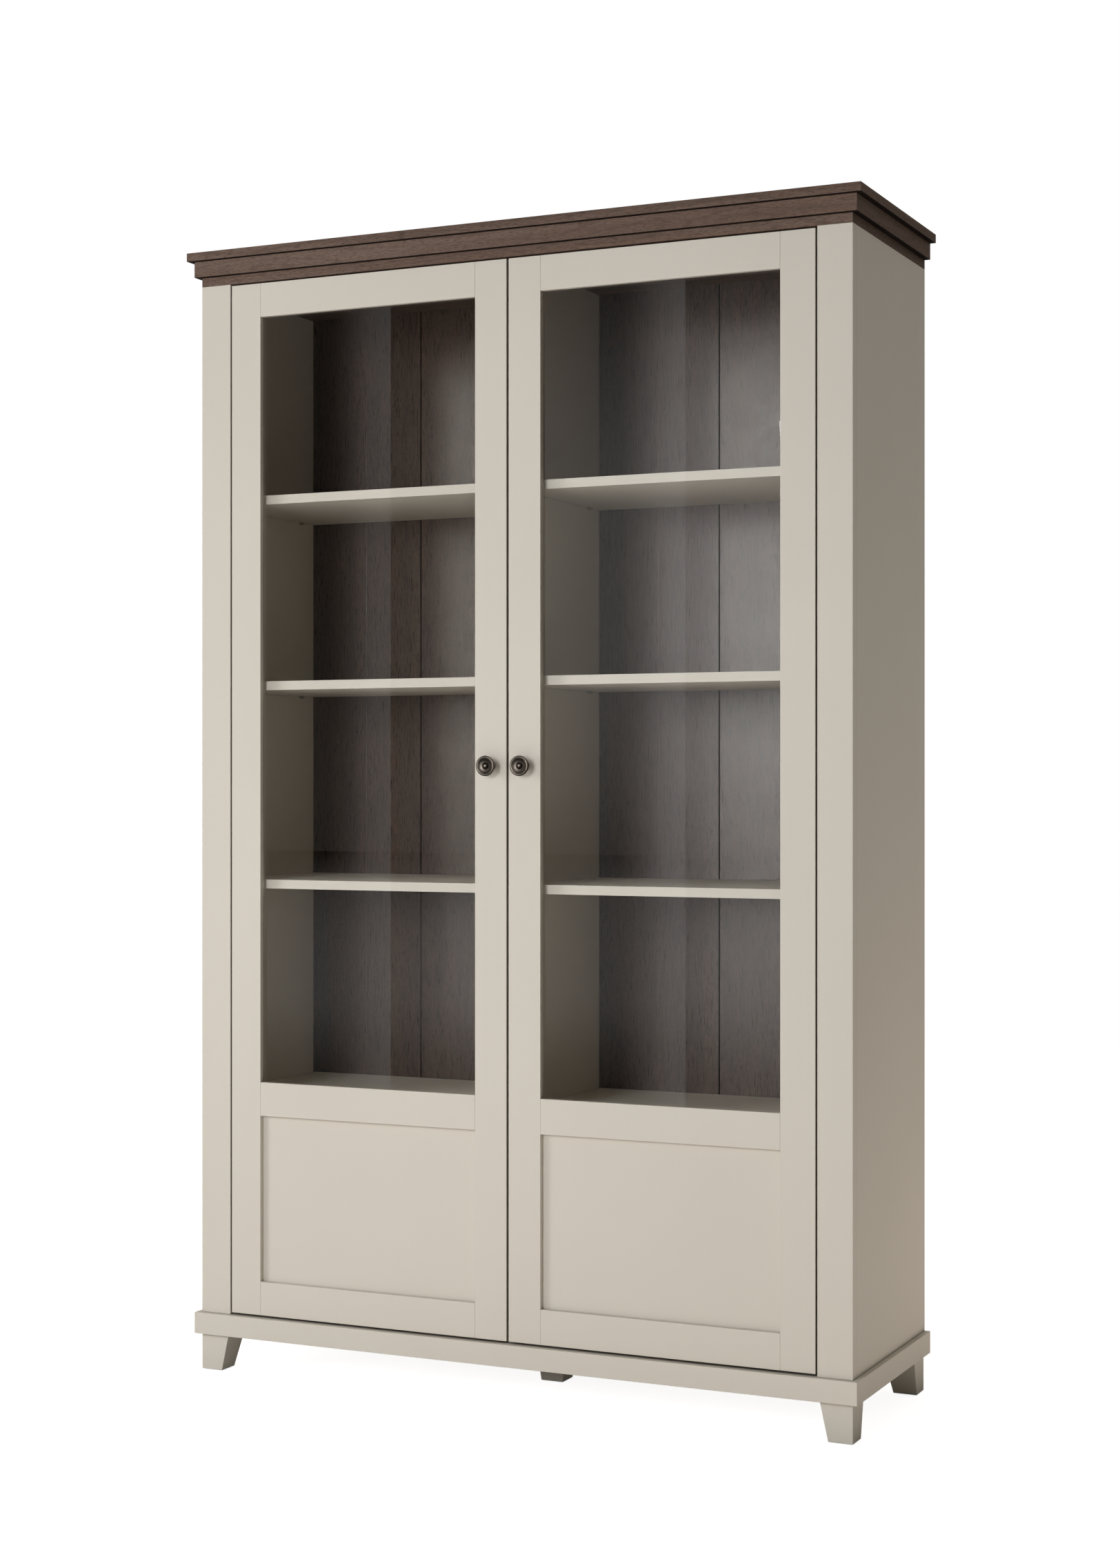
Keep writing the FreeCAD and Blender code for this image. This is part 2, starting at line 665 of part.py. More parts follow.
# ---- doors -----------------------------------------------------------------------------------------

knob_x = less(door[1], half("stile_width"))


def door_frame():
    """Two stiles with a rebate down their inner edges, and three rails whose tongues fill it."""
    thickness = (front, door_back)
    behind_lip = (add(front, "front_lip"), door_back)
    height = (door_base, door_top)
    seat = grown(opening, "rebate_width")
    rebates = box("stile_rebates", seat, behind_lip, height)
    cup_bores = [cup_bore(index) for index in range(HINGES)]
    hinge_stile = box("hinge_stile_bar", (door[0], opening[0]), thickness, height)
    pair("door_hinge_stile", cut("hinge_stile_bored", hinge_stile, group("hinge_stile_tools", [rebates] + cup_bores)))

    bore = rod("screw_bore", add("screw_radius", "screw_fit"), "y", thickness, x=knob_x, z="knob_centre")
    lock_stile = box("lock_stile_bar", (opening[1], door[1]), thickness, height)
    pair("door_lock_stile", cut("lock_stile_bored", lock_stile, group("lock_stile_tools", [rebates, bore])))

    rails = {
        "top": (top_rail_base, door_top, True, False),
        "mid": (mid_rail_base, mid_rail_top, True, True),
        "bottom": (door_base, lower_rail_top, False, True),
    }
    for place, (low, high, opening_below, opening_above) in rails.items():
        face = box(f"{place}_rail_face", opening, (front, behind_lip[0]), (low, high))
        tongue_low = add(low, "rebate_width") if opening_below else low
        tongue_high = less(high, "rebate_width") if opening_above else high
        tongue = box(f"{place}_rail_tongue", seat, behind_lip, (tongue_low, tongue_high))
        pair(f"door_{place}_rail", fuse(f"{place}_rail", [face, tongue]))
    return seat


def door_fillings(seat):
    """The glass and its beads in the upper rebate, the solid panel in the lower one."""
    glass_front = add(front, "front_lip")
    glass_back = add(glass_front, "glass_thickness")
    upper = grown((mid_rail_top, top_rail_base), "rebate_width")
    lower = grown((lower_rail_top, mid_rail_base), "rebate_width")
    play = opposite("pane_play")
    pair("door_glass", box("pane", grown(seat, play), (glass_front, glass_back), grown(upper, play)))
    panel = (glass_front, add(glass_front, "lower_panel_thickness"))
    pair("door_lower_panel", box("solid_panel", grown(seat, play), panel, grown(lower, play)))

    bead = (glass_back, door_back)
    between = grown(upper, opposite("bead_width"))
    pair("door_glazing_beads", group("beads", [
        box("bead_outer", (seat[0], add(seat[0], "bead_width")), bead, between),
        box("bead_inner", (less(seat[1], "bead_width"), seat[1]), bead, between),
        box("bead_top", seat, bead, (less(upper[1], "bead_width"), upper[1])),
        box("bead_bottom", seat, bead, (upper[0], add(upper[0], "bead_width"))),
    ]))


def knob():
    """A turned knob: foot, waist and flared back, then a rolled rim, a dish, a ring and a small ball."""
    body = doc.addObject("PartDesign::Body", "knob_body")
    rim_x = less("knob_radius", "rim_radius")
    rim_y = less("knob_height", add("ball_stand", "rim_radius"))
    hole = add("screw_radius", "screw_fit")
    profile = outline(sketch_on(body, "knob_profile", "XY_Plane"), [
        ("0", "knob_bore"),
        (hole, "knob_bore"),
        (hole, "0"),
        ("knob_foot", "0"),
        ("knob_foot", "foot_edge", "-foot_bend"),
        ("knob_neck", "foot_edge + foot_sweep"),
        ("knob_neck", "neck_top", "-neck_flare"),
        (add(rim_x, "rim_radius * cos(45)"), less(rim_y, "rim_radius * sin(45)"), "rim_radius"),
        (less(rim_x, "rim_radius * cos(60)"), add(rim_y, "rim_radius * sin(60)"), "-dish_bend"),
        ("ring_outer", "knob_height - ring_foot", "ring_bend"),
        ("ring_inner", "knob_height - ring_foot"),
        ("recess_radius", "knob_height - recess_depth"),
        ("sqrt(ball_radius ^ 2 - (recess_depth - ball_radius) ^ 2)", "knob_height - recess_depth", "ball_radius"),
        ("0", "knob_height"),
    ])
    turned = body.newObject("PartDesign::Revolution", "knob_turned")
    turned.Profile = profile
    turned.ReferenceAxis = (profile, ["V_Axis"])
    turned.Angle = 360
    body.Placement = FreeCAD.Placement(Vector(), Rotation(Vector(0, 0, 1), 180))
    move(body, knob_x, front, "knob_centre")
    pair("knob", body)

    shank = rod("shank", "screw_radius", "y", (less(front, "screw_grip"), door_back), x=knob_x, z="knob_centre")
    head = (door_back, add(door_back, "screw_head"))
    pan = rod("screw_pan", "screw_head_radius", "y", head, x=knob_x, z="knob_centre")
    pair("knob_screw", fuse("knob_screw_solid", [shank, pan]))


def bumpers():
    """Clear bumpers on the partition's front edge, behind the corners of the two doors."""
    x = half(add(door[1], bay[1]))
    thickness = (less(partition_front, "bumper_thickness"), partition_front)
    left = group("bumpers_left", [
        rod(f"bumper_{place}", "bumper_radius", "y", thickness, x=x, z=z)
        for place, z in (("low", add(door_base, "bumper_inset")), ("high", less(door_top, "bumper_inset")))
    ])
    keep(group("bumpers_both", [left, mirrored("bumpers_right", left)]), "door_bumpers")


# ---- build, check, write ---------------------------------------------------------------------------

carcass()
loose_shelves()
back_panels()
cornice()
base()
door_fillings(door_frame())
knob()
hinges()
bumpers()
doc.recompute()

for item in doc.Objects:
    if {"Invalid", "Error"} & set(item.State):
        raise RuntimeError(f"{item.Label} failed: {item.State}")
for piece in pieces:
    if piece.Shape.isNull() or not piece.Shape.isValid() or piece.Shape.Volume <= 0:
        raise RuntimeError(f"{piece.Label} has no sound solid")

os.makedirs("parts", exist_ok=True)
for piece in pieces:
    piece.Shape.exportStep(os.path.join("parts", f"{piece.Label}.step"))
print(len(pieces), "sub-parts written")
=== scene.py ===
"""Looks of the tall display cabinet with two glass doors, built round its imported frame.

Metres, in the frame's own axes: X along the width, Y from the doors to the rear, Z up from the floor.
"""

import logging
from collections.abc import Callable, Iterator, Mapping
from contextlib import contextmanager
from dataclasses import dataclass, field
from enum import Enum
from math import acos, cos, hypot, pi, radians, sin, sqrt
from typing import Any

import bmesh
import bpy
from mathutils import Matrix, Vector


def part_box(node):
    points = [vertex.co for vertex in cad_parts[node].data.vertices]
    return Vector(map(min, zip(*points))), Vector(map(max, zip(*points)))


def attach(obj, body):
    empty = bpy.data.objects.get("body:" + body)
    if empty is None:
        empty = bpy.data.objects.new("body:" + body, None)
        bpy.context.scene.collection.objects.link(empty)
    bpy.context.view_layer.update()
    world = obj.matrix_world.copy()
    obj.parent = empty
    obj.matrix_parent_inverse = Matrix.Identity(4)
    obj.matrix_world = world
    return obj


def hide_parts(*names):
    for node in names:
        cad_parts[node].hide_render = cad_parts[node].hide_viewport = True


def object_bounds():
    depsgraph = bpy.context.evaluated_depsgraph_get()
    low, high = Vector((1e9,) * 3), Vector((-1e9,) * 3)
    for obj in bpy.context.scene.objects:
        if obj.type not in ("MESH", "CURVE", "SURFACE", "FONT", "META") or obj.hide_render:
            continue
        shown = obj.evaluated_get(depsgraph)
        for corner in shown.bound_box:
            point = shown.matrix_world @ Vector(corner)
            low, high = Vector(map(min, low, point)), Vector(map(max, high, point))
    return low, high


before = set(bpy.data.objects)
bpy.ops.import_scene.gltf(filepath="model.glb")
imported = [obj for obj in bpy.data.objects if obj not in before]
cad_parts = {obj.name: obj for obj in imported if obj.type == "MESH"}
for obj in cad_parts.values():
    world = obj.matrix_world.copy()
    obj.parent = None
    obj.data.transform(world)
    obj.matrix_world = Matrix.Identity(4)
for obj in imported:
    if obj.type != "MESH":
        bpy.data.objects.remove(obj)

log = logging.getLogger("display_cabinet")

Material = bpy.types.Material
Tree = bpy.types.NodeTree
Socket = bpy.types.NodeSocket
Span = tuple[float, float]
Triple = tuple[float, float, float]
Quad = tuple[float, float, float, float]

MM = 0.001
NEAR = 0.01 * MM  # how close a place has to be to count as the same
FACING = 0.9  # how much of an axis a direction has to hold to count as pointing along it
CAD_BOX = [list(corner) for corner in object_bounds()]

HINGES = 4
CUP_HEIGHT = 60 * MM
PLATE_HEIGHT = 50 * MM

MATH = "ShaderNodeMath"
VECTOR_MATH = "ShaderNodeVectorMath"
LIGHT_PATH = "ShaderNodeLightPath"
OCCLUSION = "ShaderNodeAmbientOcclusion"
EMISSION = "ShaderNodeEmission"
BUMP = "ShaderNodeBump"
MIX = "ShaderNodeMix"
COLOURS = {"out": 2, "data_type": "RGBA"}  # a mix of colours: input 0 is the share, 6 and 7 are the colours
RAMP = "ShaderNodeMapRange"  # its inputs: a value, the two ends of its span, the two ends that they turn to
SMOOTH = {"interpolation_type": "SMOOTHSTEP"}
FULL: Span = (0.0, 1.0)
MOST: Span = (0.3, 0.7)  # where most of a speckle pattern lies
WHITE: Quad = (1.0, 1.0, 1.0, 1.0)


class Side(Enum):
    """Which door or which end of the carcass, by its sign along X."""

    LEFT = -1
    RIGHT = 1

    @property
    def label(self) -> str:
        """The word that node names use for this side."""
        return self.name.lower()


class Element(Enum):
    """What a selection is made of."""

    POINT = "VERT"
    EDGE = "EDGE"
    FACE = "FACE"


class Grain(Enum):
    """The axis that the wood grain runs along."""

    WIDTH = 0
    DEPTH = 1
    HEIGHT = 2


# ---- the bench: pieces shaped with the modelling operators ------------------------------------------


class Piece:
    """One piece on the bench, from its first primitive to its finished mesh."""

    SHARP = radians(25)
    FLAT = radians(0.5)
    MERGE = 0.002 * MM

    def __init__(self, name: str) -> None:
        """Takes the primitive that was just added and puts its place into its mesh.

        Args:
            name: the piece's name.
        """
        self.body = bpy.context.active_object
        self.body.name = self.body.data.name = name
        bpy.ops.object.transform_apply(location=True, rotation=True, scale=True)

    @classmethod
    def start(cls, name: str, add: Callable[..., Any], **how: Any) -> "Piece":
        """Starts a piece with a primitive, with nothing else selected.

        Args:
            name: the piece's name.
            add: the primitive's operator.
            how: the operator's settings.

        Returns:
            The piece.
        """
        bpy.ops.object.select_all(action="DESELECT")
        add(**how)
        return cls(name)

    @classmethod
    def block(cls, name: str, low: Vector, high: Vector) -> "Piece":
        """Starts a piece as a block.

        Args:
            name: the piece's name.
            low: its lowest corner.
            high: its highest corner.

        Returns:
            The piece.
        """
        cube = bpy.ops.mesh.primitive_cube_add
        return cls.start(name, cube, size=1.0, location=(low + high) / 2, scale=high - low)

    @classmethod
    def disc(cls, name: str, centre: Vector, radius: float, corners: int, turn: Vector) -> "Piece":
        """Starts a piece as one round face.

        Args:
            name: the piece's name.
            centre: the middle of the face.
            radius: its radius.
            corners: how many corners it has.
            turn: its rotation from lying flat, as Euler angles.

        Returns:
            The piece.
        """
        return cls.start(
            name, bpy.ops.mesh.primitive_circle_add, vertices=corners, radius=radius, fill_type="NGON",
            location=centre, rotation=turn,
        )

    def hold(self) -> None:
        """Makes this piece the only selected and active object."""
        bpy.ops.object.select_all(action="DESELECT")
        self.body.select_set(True)
        bpy.context.view_layer.objects.active = self.body

    @contextmanager
    def edited(self) -> Iterator["Piece"]:
        """Opens the piece in edit mode for the length of a with block.

        Returns:
            The piece, while it is in edit mode.
        """
        self.hold()
        bpy.ops.object.mode_set(mode="EDIT")
        try:
            yield self
        finally:
            bpy.ops.object.mode_set(mode="OBJECT")

    def pick(self, element: Element, wanted: Callable[[Vector, Vector], bool]) -> None:
        """Selects elements in edit mode by where they are and which way they point.

        Args:
            element: points, edges or faces.
            wanted: a test of an element's middle and of its normal, or of an edge's direction.
        """
        bpy.ops.mesh.select_mode(type=element.value)
        bpy.ops.mesh.select_all(action="DESELECT")
        mesh = bmesh.from_edit_mesh(self.body.data)
        mesh.normal_update()
        if element is Element.POINT:
            found = [v for v in mesh.verts if wanted(v.co, v.normal)]
        elif element is Element.EDGE:
            ends = [(e, e.verts[0].co, e.verts[1].co) for e in mesh.edges]
            found = [e for e, a, b in ends if wanted((a + b) / 2, (b - a).normalized())]
        else:
            found = [f for f in mesh.faces if wanted(f.calc_center_median(), f.normal)]
        for item in found:
            item.select_set(True)
        mesh.select_flush_mode()
        bmesh.update_edit_mesh(self.body.data)

    def pick_all(self) -> None:
        """Selects every face in edit mode."""
        bpy.ops.mesh.select_mode(type="FACE")
        bpy.ops.mesh.select_all(action="SELECT")

    def slice(self, place: Vector, way: Vector) -> None:
        """Cuts a line of edges round the whole piece, where a plane crosses it."""
        bpy.ops.mesh.select_all(action="SELECT")
        bpy.ops.mesh.bisect(plane_co=place, plane_no=way)

    def grow(self, way: Vector) -> None:
        """Extrudes the selected faces."""
        bpy.ops.mesh.extrude_region_move(TRANSFORM_OT_translate={"value": way})

    def slide(self, way: Vector) -> None:
        """Moves what is selected."""
        bpy.ops.transform.translate(value=way)

    def stretch(self, factors: Triple, about: Vector) -> None:
        """Scales what is selected about a point."""
        bpy.ops.transform.resize(value=factors, center_override=about)

    def taper(self, rise: float, share: float, end: Vector) -> None:
        """Extrudes the selected faces along Y and scales their new edge about the end of the step.

        Args:
            rise: how far they go along Y.
            share: the new edge's size as a share of the old one's.
            end: the middle of the new edge.
        """
        self.grow(Vector((0, rise, 0)))
        self.stretch((share, 1.0, share), end)

    def turn_out(self) -> None:
        """Turns every normal outwards."""
        bpy.ops.mesh.select_all(action="SELECT")
        bpy.ops.mesh.normals_make_consistent(inside=False)

    def clean(self) -> None:
        """Drops edges that lie in a flat face and turns every normal outwards."""
        bpy.ops.mesh.select_all(action="SELECT")
        bpy.ops.mesh.remove_doubles(threshold=self.MERGE)
        bpy.ops.mesh.dissolve_limited(angle_limit=self.FLAT)
        self.turn_out()

    def soften(
        self, radius: float, steps: int = 3, wanted: Callable[[Vector], bool] = lambda at: True
    ) -> None:
        """Rounds the sharp edges, as a maker eases a board's arrises.

        Args:
            radius: how far the rounding reaches into each face.
            steps: faces across the rounding.
            wanted: a test of an edge's middle, where only some edges are rounded.
        """
        bpy.ops.mesh.select_mode(type="EDGE")
        bpy.ops.mesh.select_all(action="DESELECT")
        mesh = bmesh.from_edit_mesh(self.body.data)
        for edge in mesh.edges:
            middle = (edge.verts[0].co + edge.verts[1].co) / 2
            if edge.is_manifold and edge.calc_face_angle() > self.SHARP and wanted(middle):
                edge.select_set(True)
        mesh.select_flush_mode()
        bmesh.update_edit_mesh(self.body.data)
        bpy.ops.mesh.bevel(offset=radius, segments=steps, profile=0.5, affect="EDGES", clamp_overlap=True)

    def bore(self, drill: "Piece") -> None:
        """Takes the drill's shape out of this piece and throws the drill away.

        Args:
            drill: the piece that has the bore's shape.
        """
        self.hold()
        cut = self.body.modifiers.new("bore", "BOOLEAN")
        cut.operation, cut.solver, cut.object = "DIFFERENCE", "EXACT", drill.body
        bpy.ops.object.modifier_apply(modifier=cut.name)
        bpy.data.objects.remove(drill.body)

    def join(self, others: list["Piece"]) -> None:
        """Makes the other pieces part of this one's mesh.

        Args:
            others: the pieces to join on.
        """
        self.hold()
        for other in others:
            other.body.select_set(True)
        bpy.ops.object.join()

    def copied(self, name: str, way: Vector) -> "Piece":
        """Copies the piece with a mesh of its own.

        Args:
            name: the copy's name.
            way: how far the copy is moved.

        Returns:
            The copy.
        """
        self.hold()
        bpy.ops.object.duplicate(linked=False)
        bpy.ops.transform.translate(value=way)
        return Piece(name)

    def shade(self, angle: float = 40.0) -> None:
        """Shades the roundings smooth and keeps the flat faces flat.

        Args:
            angle: the greatest bend, in degrees, that is shaded smooth.
        """
        self.hold()
        bpy.ops.object.shade_smooth_by_angle(angle=radians(angle))
        weigh = self.body.modifiers.new("weigh", "WEIGHTED_NORMAL")
        weigh.keep_sharp = True
        bpy.ops.object.modifier_apply(modifier=weigh.name)

    def dress(self, material: Material) -> None:
        """Gives the whole piece one finish."""
        self.body.data.materials.clear()
        self.body.data.materials.append(material)

    def redress(self, material: Material, wanted: Callable[[Vector, Vector], bool]) -> None:
        """Gives some faces another finish, by their middle and normal.

        Args:
            material: the other finish.
            wanted: a test of a face's middle and normal.
        """
        self.body.data.materials.append(material)
        last = len(self.body.data.materials) - 1
        for face in self.body.data.polygons:
            if wanted(face.center, face.normal):
                face.material_index = last

    def fit(self, body: str, slot: str, *nodes: str) -> None:
        """Lets the piece ride on a body and hides the solids that it stands for.

        Args:
            body: the frame's body.
            slot: not used.
            nodes: the frame's nodes that it replaces.
        """
        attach(self.body, body)
        if nodes:
            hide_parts(*nodes)
        log.info("%s: %d faces on %s", self.body.name, len(self.body.data.polygons), body)


# ---- finishes --------------------------------------------------------------------------------------


def linear(code: str) -> Quad:
    """Turns an sRGB hex colour to the linear one that a shader takes.

    Args:
        code: the colour as # and six hex digits.

    Returns:
        Its red, green, blue and alpha.
    """
    parts = [int(code[i:i + 2], 16) / 255 for i in (1, 3, 5)]
    straight = [p / 12.92 if p <= 0.04045 else ((p + 0.055) / 1.055) ** 2.4 for p in parts]
    return (*straight, 1.0)


def add_node(tree: Tree, kind: str, inputs: Any = (), out: str | int = 0, **settings: Any) -> Socket | None:
    """Adds a node with its settings, input values and links.

    Args:
        tree: the node tree that it goes into.
        kind: the node's type.
        inputs: values, or outputs of other nodes, for its inputs in order or by name or number.
        out: the name or number of the wanted output.
        settings: attributes of the node.

    Returns:
        The wanted output, or None from a node without outputs.
    """
    node = tree.nodes.new(kind)
    for name, value in settings.items():
        setattr(node, name, value)
    for name, value in inputs.items() if isinstance(inputs, Mapping) else enumerate(inputs):
        if isinstance(value, bpy.types.NodeSocket):
            tree.links.new(value, node.inputs[name])
        else:
            node.inputs[name].default_value = value
    return node.outputs[out] if len(node.outputs) else None


def new_tree(name: str) -> tuple[Material, Tree]:
    """Starts a material with an empty node tree.

    Args:
        name: the material's name.

    Returns:
        The material and its node tree.
    """
    material = bpy.data.materials.new(name)
    material.use_nodes = True
    material.node_tree.nodes.clear()
    return material, material.node_tree


def speckle(tree: Tree, size: float | Triple, detail: float) -> Socket:
    """A soft random pattern on the piece's own coordinates.

    Args:
        tree: the material's node tree.
        size: the pattern's size in metres, one for all axes or one for each.
        detail: how many finer layers lie on it.

    Returns:
        The pattern, from 0 to 1.
    """
    sizes = size if isinstance(size, tuple) else (size, size, size)
    place = add_node(tree, "ShaderNodeTexCoord", out="Object")
    spread = add_node(tree, "ShaderNodeMapping", {"Vector": place, "Scale": [1 / s for s in sizes]})
    return add_node(tree, "ShaderNodeTexNoise", {"Vector": spread, "Scale": 1.0, "Detail": detail})


def layered(tree: Tree, base: str, *layers: tuple[str, Socket, Span, Span]) -> Socket:
    """Lays colours over a base colour, each as strongly as a pattern says.

    Args:
        tree: the material's node tree.
        base: the colour under all layers.
        layers: for each one its colour, its pattern, the pattern's span and the span of its strength.

    Returns:
        The colour.
    """
    colour: Any = linear(base)
    for code, pattern, span, strength in layers:
        share = add_node(tree, RAMP, (pattern, *span, *strength), **SMOOTH)
        colour = add_node(tree, MIX, {0: share, 6: colour, 7: linear(code)}, **COLOURS)
    return colour


@dataclass(frozen=True)
class Finish:
    """What all finishes share: a name, and a material that their skin's inputs make."""

    name: str

    def skin(self, tree: Tree) -> dict[str, Any]:
        """The inputs of the skin's shader, with the patterns that they need."""
        raise NotImplementedError

    def surface(self, tree: Tree) -> Socket:
        """The shader of the surface."""
        return add_node(tree, "ShaderNodeBsdfPrincipled", self.skin(tree))

    def material(self) -> Material:
        """Builds the material.

        Returns:
            The material.
        """
        material, tree = new_tree(self.name)
        add_node(tree, "ShaderNodeOutputMaterial", (self.surface(tree),))
        return material


@dataclass(frozen=True)
class Lacquer(Finish):
    """Cashmere lacquer: a matt sprayed and cured coat on MDF and on foiled boards.

    It gives the eye an even warm grey beige with a broad soft sheen and no visible grain, and a painted
    dark brown shade in the joints that are only a few millimetres wide.
    """

    name: str = "cashmere_lacquer"
    body: str = "#D3CCBE"
    shade: str = "#D0C9BB"
    roughness: Span = (0.46, 0.54)
    glare: float = 0.3
    cloud: float = 420 * MM
    peel: float = 1.4 * MM  # spray texture is finer; drawn this coarse so that it shows
    # joint and the three fields after it paint shade into narrow gaps: how far the occlusion looks, the
    # dark brown, and where it sets in
    joint: float = 9 * MM
    painted_joint_shade: str = "#453321"
    painted_shade_span: Span = (0.15, 0.42)
    painted_shade_strength: Span = (0.9, 0.0)

    def skin(self, tree: Tree) -> dict[str, Any]:
        """Clouds the body colour, paints dark brown shade into the narrow joints and pebbles the coat.

        Args:
            tree: the material's node tree.

        Returns:
            The inputs by name.
        """
        cloud = speckle(tree, self.cloud, 2.0)
        peel = speckle(tree, self.peel, 2.0)
        # painted shade: the occlusion turns the colour dark brown in gaps a few millimetres wide
        openness = add_node(tree, OCCLUSION, {"Distance": self.joint}, "AO", samples=6)
        return {
            "Base Color": layered(
                tree, self.body,
                (self.shade, cloud, MOST, FULL),
                (self.painted_joint_shade, openness, self.painted_shade_span, self.painted_shade_strength),
            ),
            "Roughness": add_node(tree, RAMP, (peel, *MOST, *self.roughness), **SMOOTH),
            "IOR": 1.46,
            "Specular IOR Level": self.glare,
            "Normal": add_node(tree, BUMP, {"Strength": 0.06, "Distance": 0.1 * MM, "Height": peel}),
        }


@dataclass(frozen=True)
class OakDecor(Finish):
    """Dark oak decor: melamine paper pressed on board with a pore structure.

    It gives the eye a grey brown with long fibres, flame figure and short dark pores, and a satin glare.
    """

    name: str
    grain: Grain
    glare: float = 0.2
    dark: str = "#665347"
    light: str = "#776457"
    warm: str = "#765D4C"
    pore: str = "#4A3B33"
    roughness: Span = (0.6, 0.7)
    fibre: Span = (1.1 * MM, 17 * MM)  # oak fibre is finer; drawn to show
    pore_share: float = 0.55
    tone_size: Span = (38 * MM, 900 * MM)
    warmth_size: Span = (24 * MM, 1400 * MM)
    flame_size: Span = (46 * MM, 380 * MM)
    pore_size: Span = (1.2 * MM, 9 * MM)
    rings: float = 11.0

    def figure(self, tree: Tree, size: Span, detail: float) -> Socket:
        """A speckle pattern whose size is given across the grain and along it.

        Args:
            tree: the material's node tree.
            size: its size across the grain and along it.
            detail: how many finer layers lie on it.

        Returns:
            The pattern, from 0 to 1.
        """
        sizes = [size[0]] * 3
        sizes[self.grain.value] = size[1]
        return speckle(tree, tuple(sizes), detail)

    def skin(self, tree: Tree) -> dict[str, Any]:
        """Lays tone, warmth, growth rings, fibres and pores over each other.

        Args:
            tree: the material's node tree.

        Returns:
            The inputs by name.
        """
        tone = self.figure(tree, self.tone_size, 2.0)
        warmth = self.figure(tree, self.warmth_size, 1.0)
        flame = self.figure(tree, self.flame_size, 1.0)
        fibre = self.figure(tree, self.fibre, 2.0)
        pores = self.figure(tree, self.pore_size, 1.0)
        rings = add_node(tree, MATH, (flame, self.rings), operation="MULTIPLY")
        rings = add_node(tree, MATH, (rings, 0.5), operation="PINGPONG")
        depth = add_node(tree, MATH, (fibre, pores), operation="SUBTRACT")
        return {
            "Base Color": layered(
                tree, self.dark,
                (self.light, tone, (0.35, 0.65), FULL),
                (self.warm, warmth, (0.45, 0.7), (0.0, 0.7)),
                (self.pore, rings, (0.02, 0.2), (0.3, 0.0)),
                (self.light, fibre, (0.45, 0.75), (0.0, 0.5)),
                (self.pore, fibre, (0.5, 0.3), (0.0, 0.6)),
                (self.pore, pores, (0.52, 0.66), (0.0, self.pore_share)),
            ),
            "Roughness": add_node(tree, RAMP, (fibre, *MOST, *self.roughness), **SMOOTH),
            "IOR": 1.5,
            "Specular IOR Level": self.glare,
            "Normal": add_node(tree, BUMP, {"Strength": 0.7, "Distance": 0.2 * MM, "Height": depth}),
        }


@dataclass(frozen=True)
class Hardboard(Finish):
    """Hardboard: pressed wood fibre, bare on the rear of the back panels.

    It gives the eye a flat mid brown, flecked with darker fibre bundles.
    """

    name: str = "bare_hardboard"
    body: str = "#A3835F"
    fleck: str = "#7A5D42"
    roughness: Span = (0.75, 0.9)
    fibre: float = 3 * MM
    cloud: float = 160 * MM

    def skin(self, tree: Tree) -> dict[str, Any]:
        """Flecks the body colour and clouds it.

        Args:
            tree: the material's node tree.

        Returns:
            The inputs by name.
        """
        fibres = speckle(tree, self.fibre, 4.0)
        cloud = speckle(tree, self.cloud, 3.0)
        return {
            "Base Color": layered(
                tree, self.body,
                (self.fleck, fibres, (0.5, 0.72), (0.0, 0.8)),
                (self.fleck, cloud, (0.4, 0.8), (0.0, 0.3)),
            ),
            "Roughness": add_node(tree, RAMP, (fibres, *MOST, *self.roughness), **SMOOTH),
            "Normal": add_node(tree, BUMP, {"Strength": 0.3, "Distance": 0.2 * MM, "Height": fibres}),
        }


@dataclass(frozen=True)
class FloatGlass(Finish):
    """Clear float glass, 4 mm.

    It gives the eye a clean mirror glare over what is behind it and a faint green in its edges. Light for
    the inside of the case passes it straight, as it does through a real pane.
    """

    name: str = "clear_glass"
    tint: str = "#FDFEFD"
    passed: str = "#FFFFFF"
    wave: float = 260 * MM

    def skin(self, tree: Tree) -> dict[str, Any]:
        """Bends the smooth face a little, as float glass is.

        Args:
            tree: the material's node tree.

        Returns:
            The inputs by name.
        """
        wave = speckle(tree, self.wave, 0.0)
        return {
            "Base Color": linear(self.tint),
            "Roughness": 0.0,
            "IOR": 1.5,
            "Transmission Weight": 1.0,
            "Normal": add_node(tree, BUMP, {"Strength": 0.02, "Distance": 0.1 * MM, "Height": wave}),
        }

    def surface(self, tree: Tree) -> Socket:
        """The pane to eye and mirror, and nothing at all to shadows and to scattered light.

        Args:
            tree: the material's node tree.

        Returns:
            The shader.
        """
        path = add_node(tree, LIGHT_PATH).node.outputs
        passing = add_node(tree, MATH, (path["Is Shadow Ray"], path["Is Diffuse Ray"]), operation="MAXIMUM")
        through = add_node(tree, "ShaderNodeBsdfTransparent", {"Color": linear(self.passed)})
        return add_node(tree, "ShaderNodeMixShader", (passing, super().surface(tree), through))


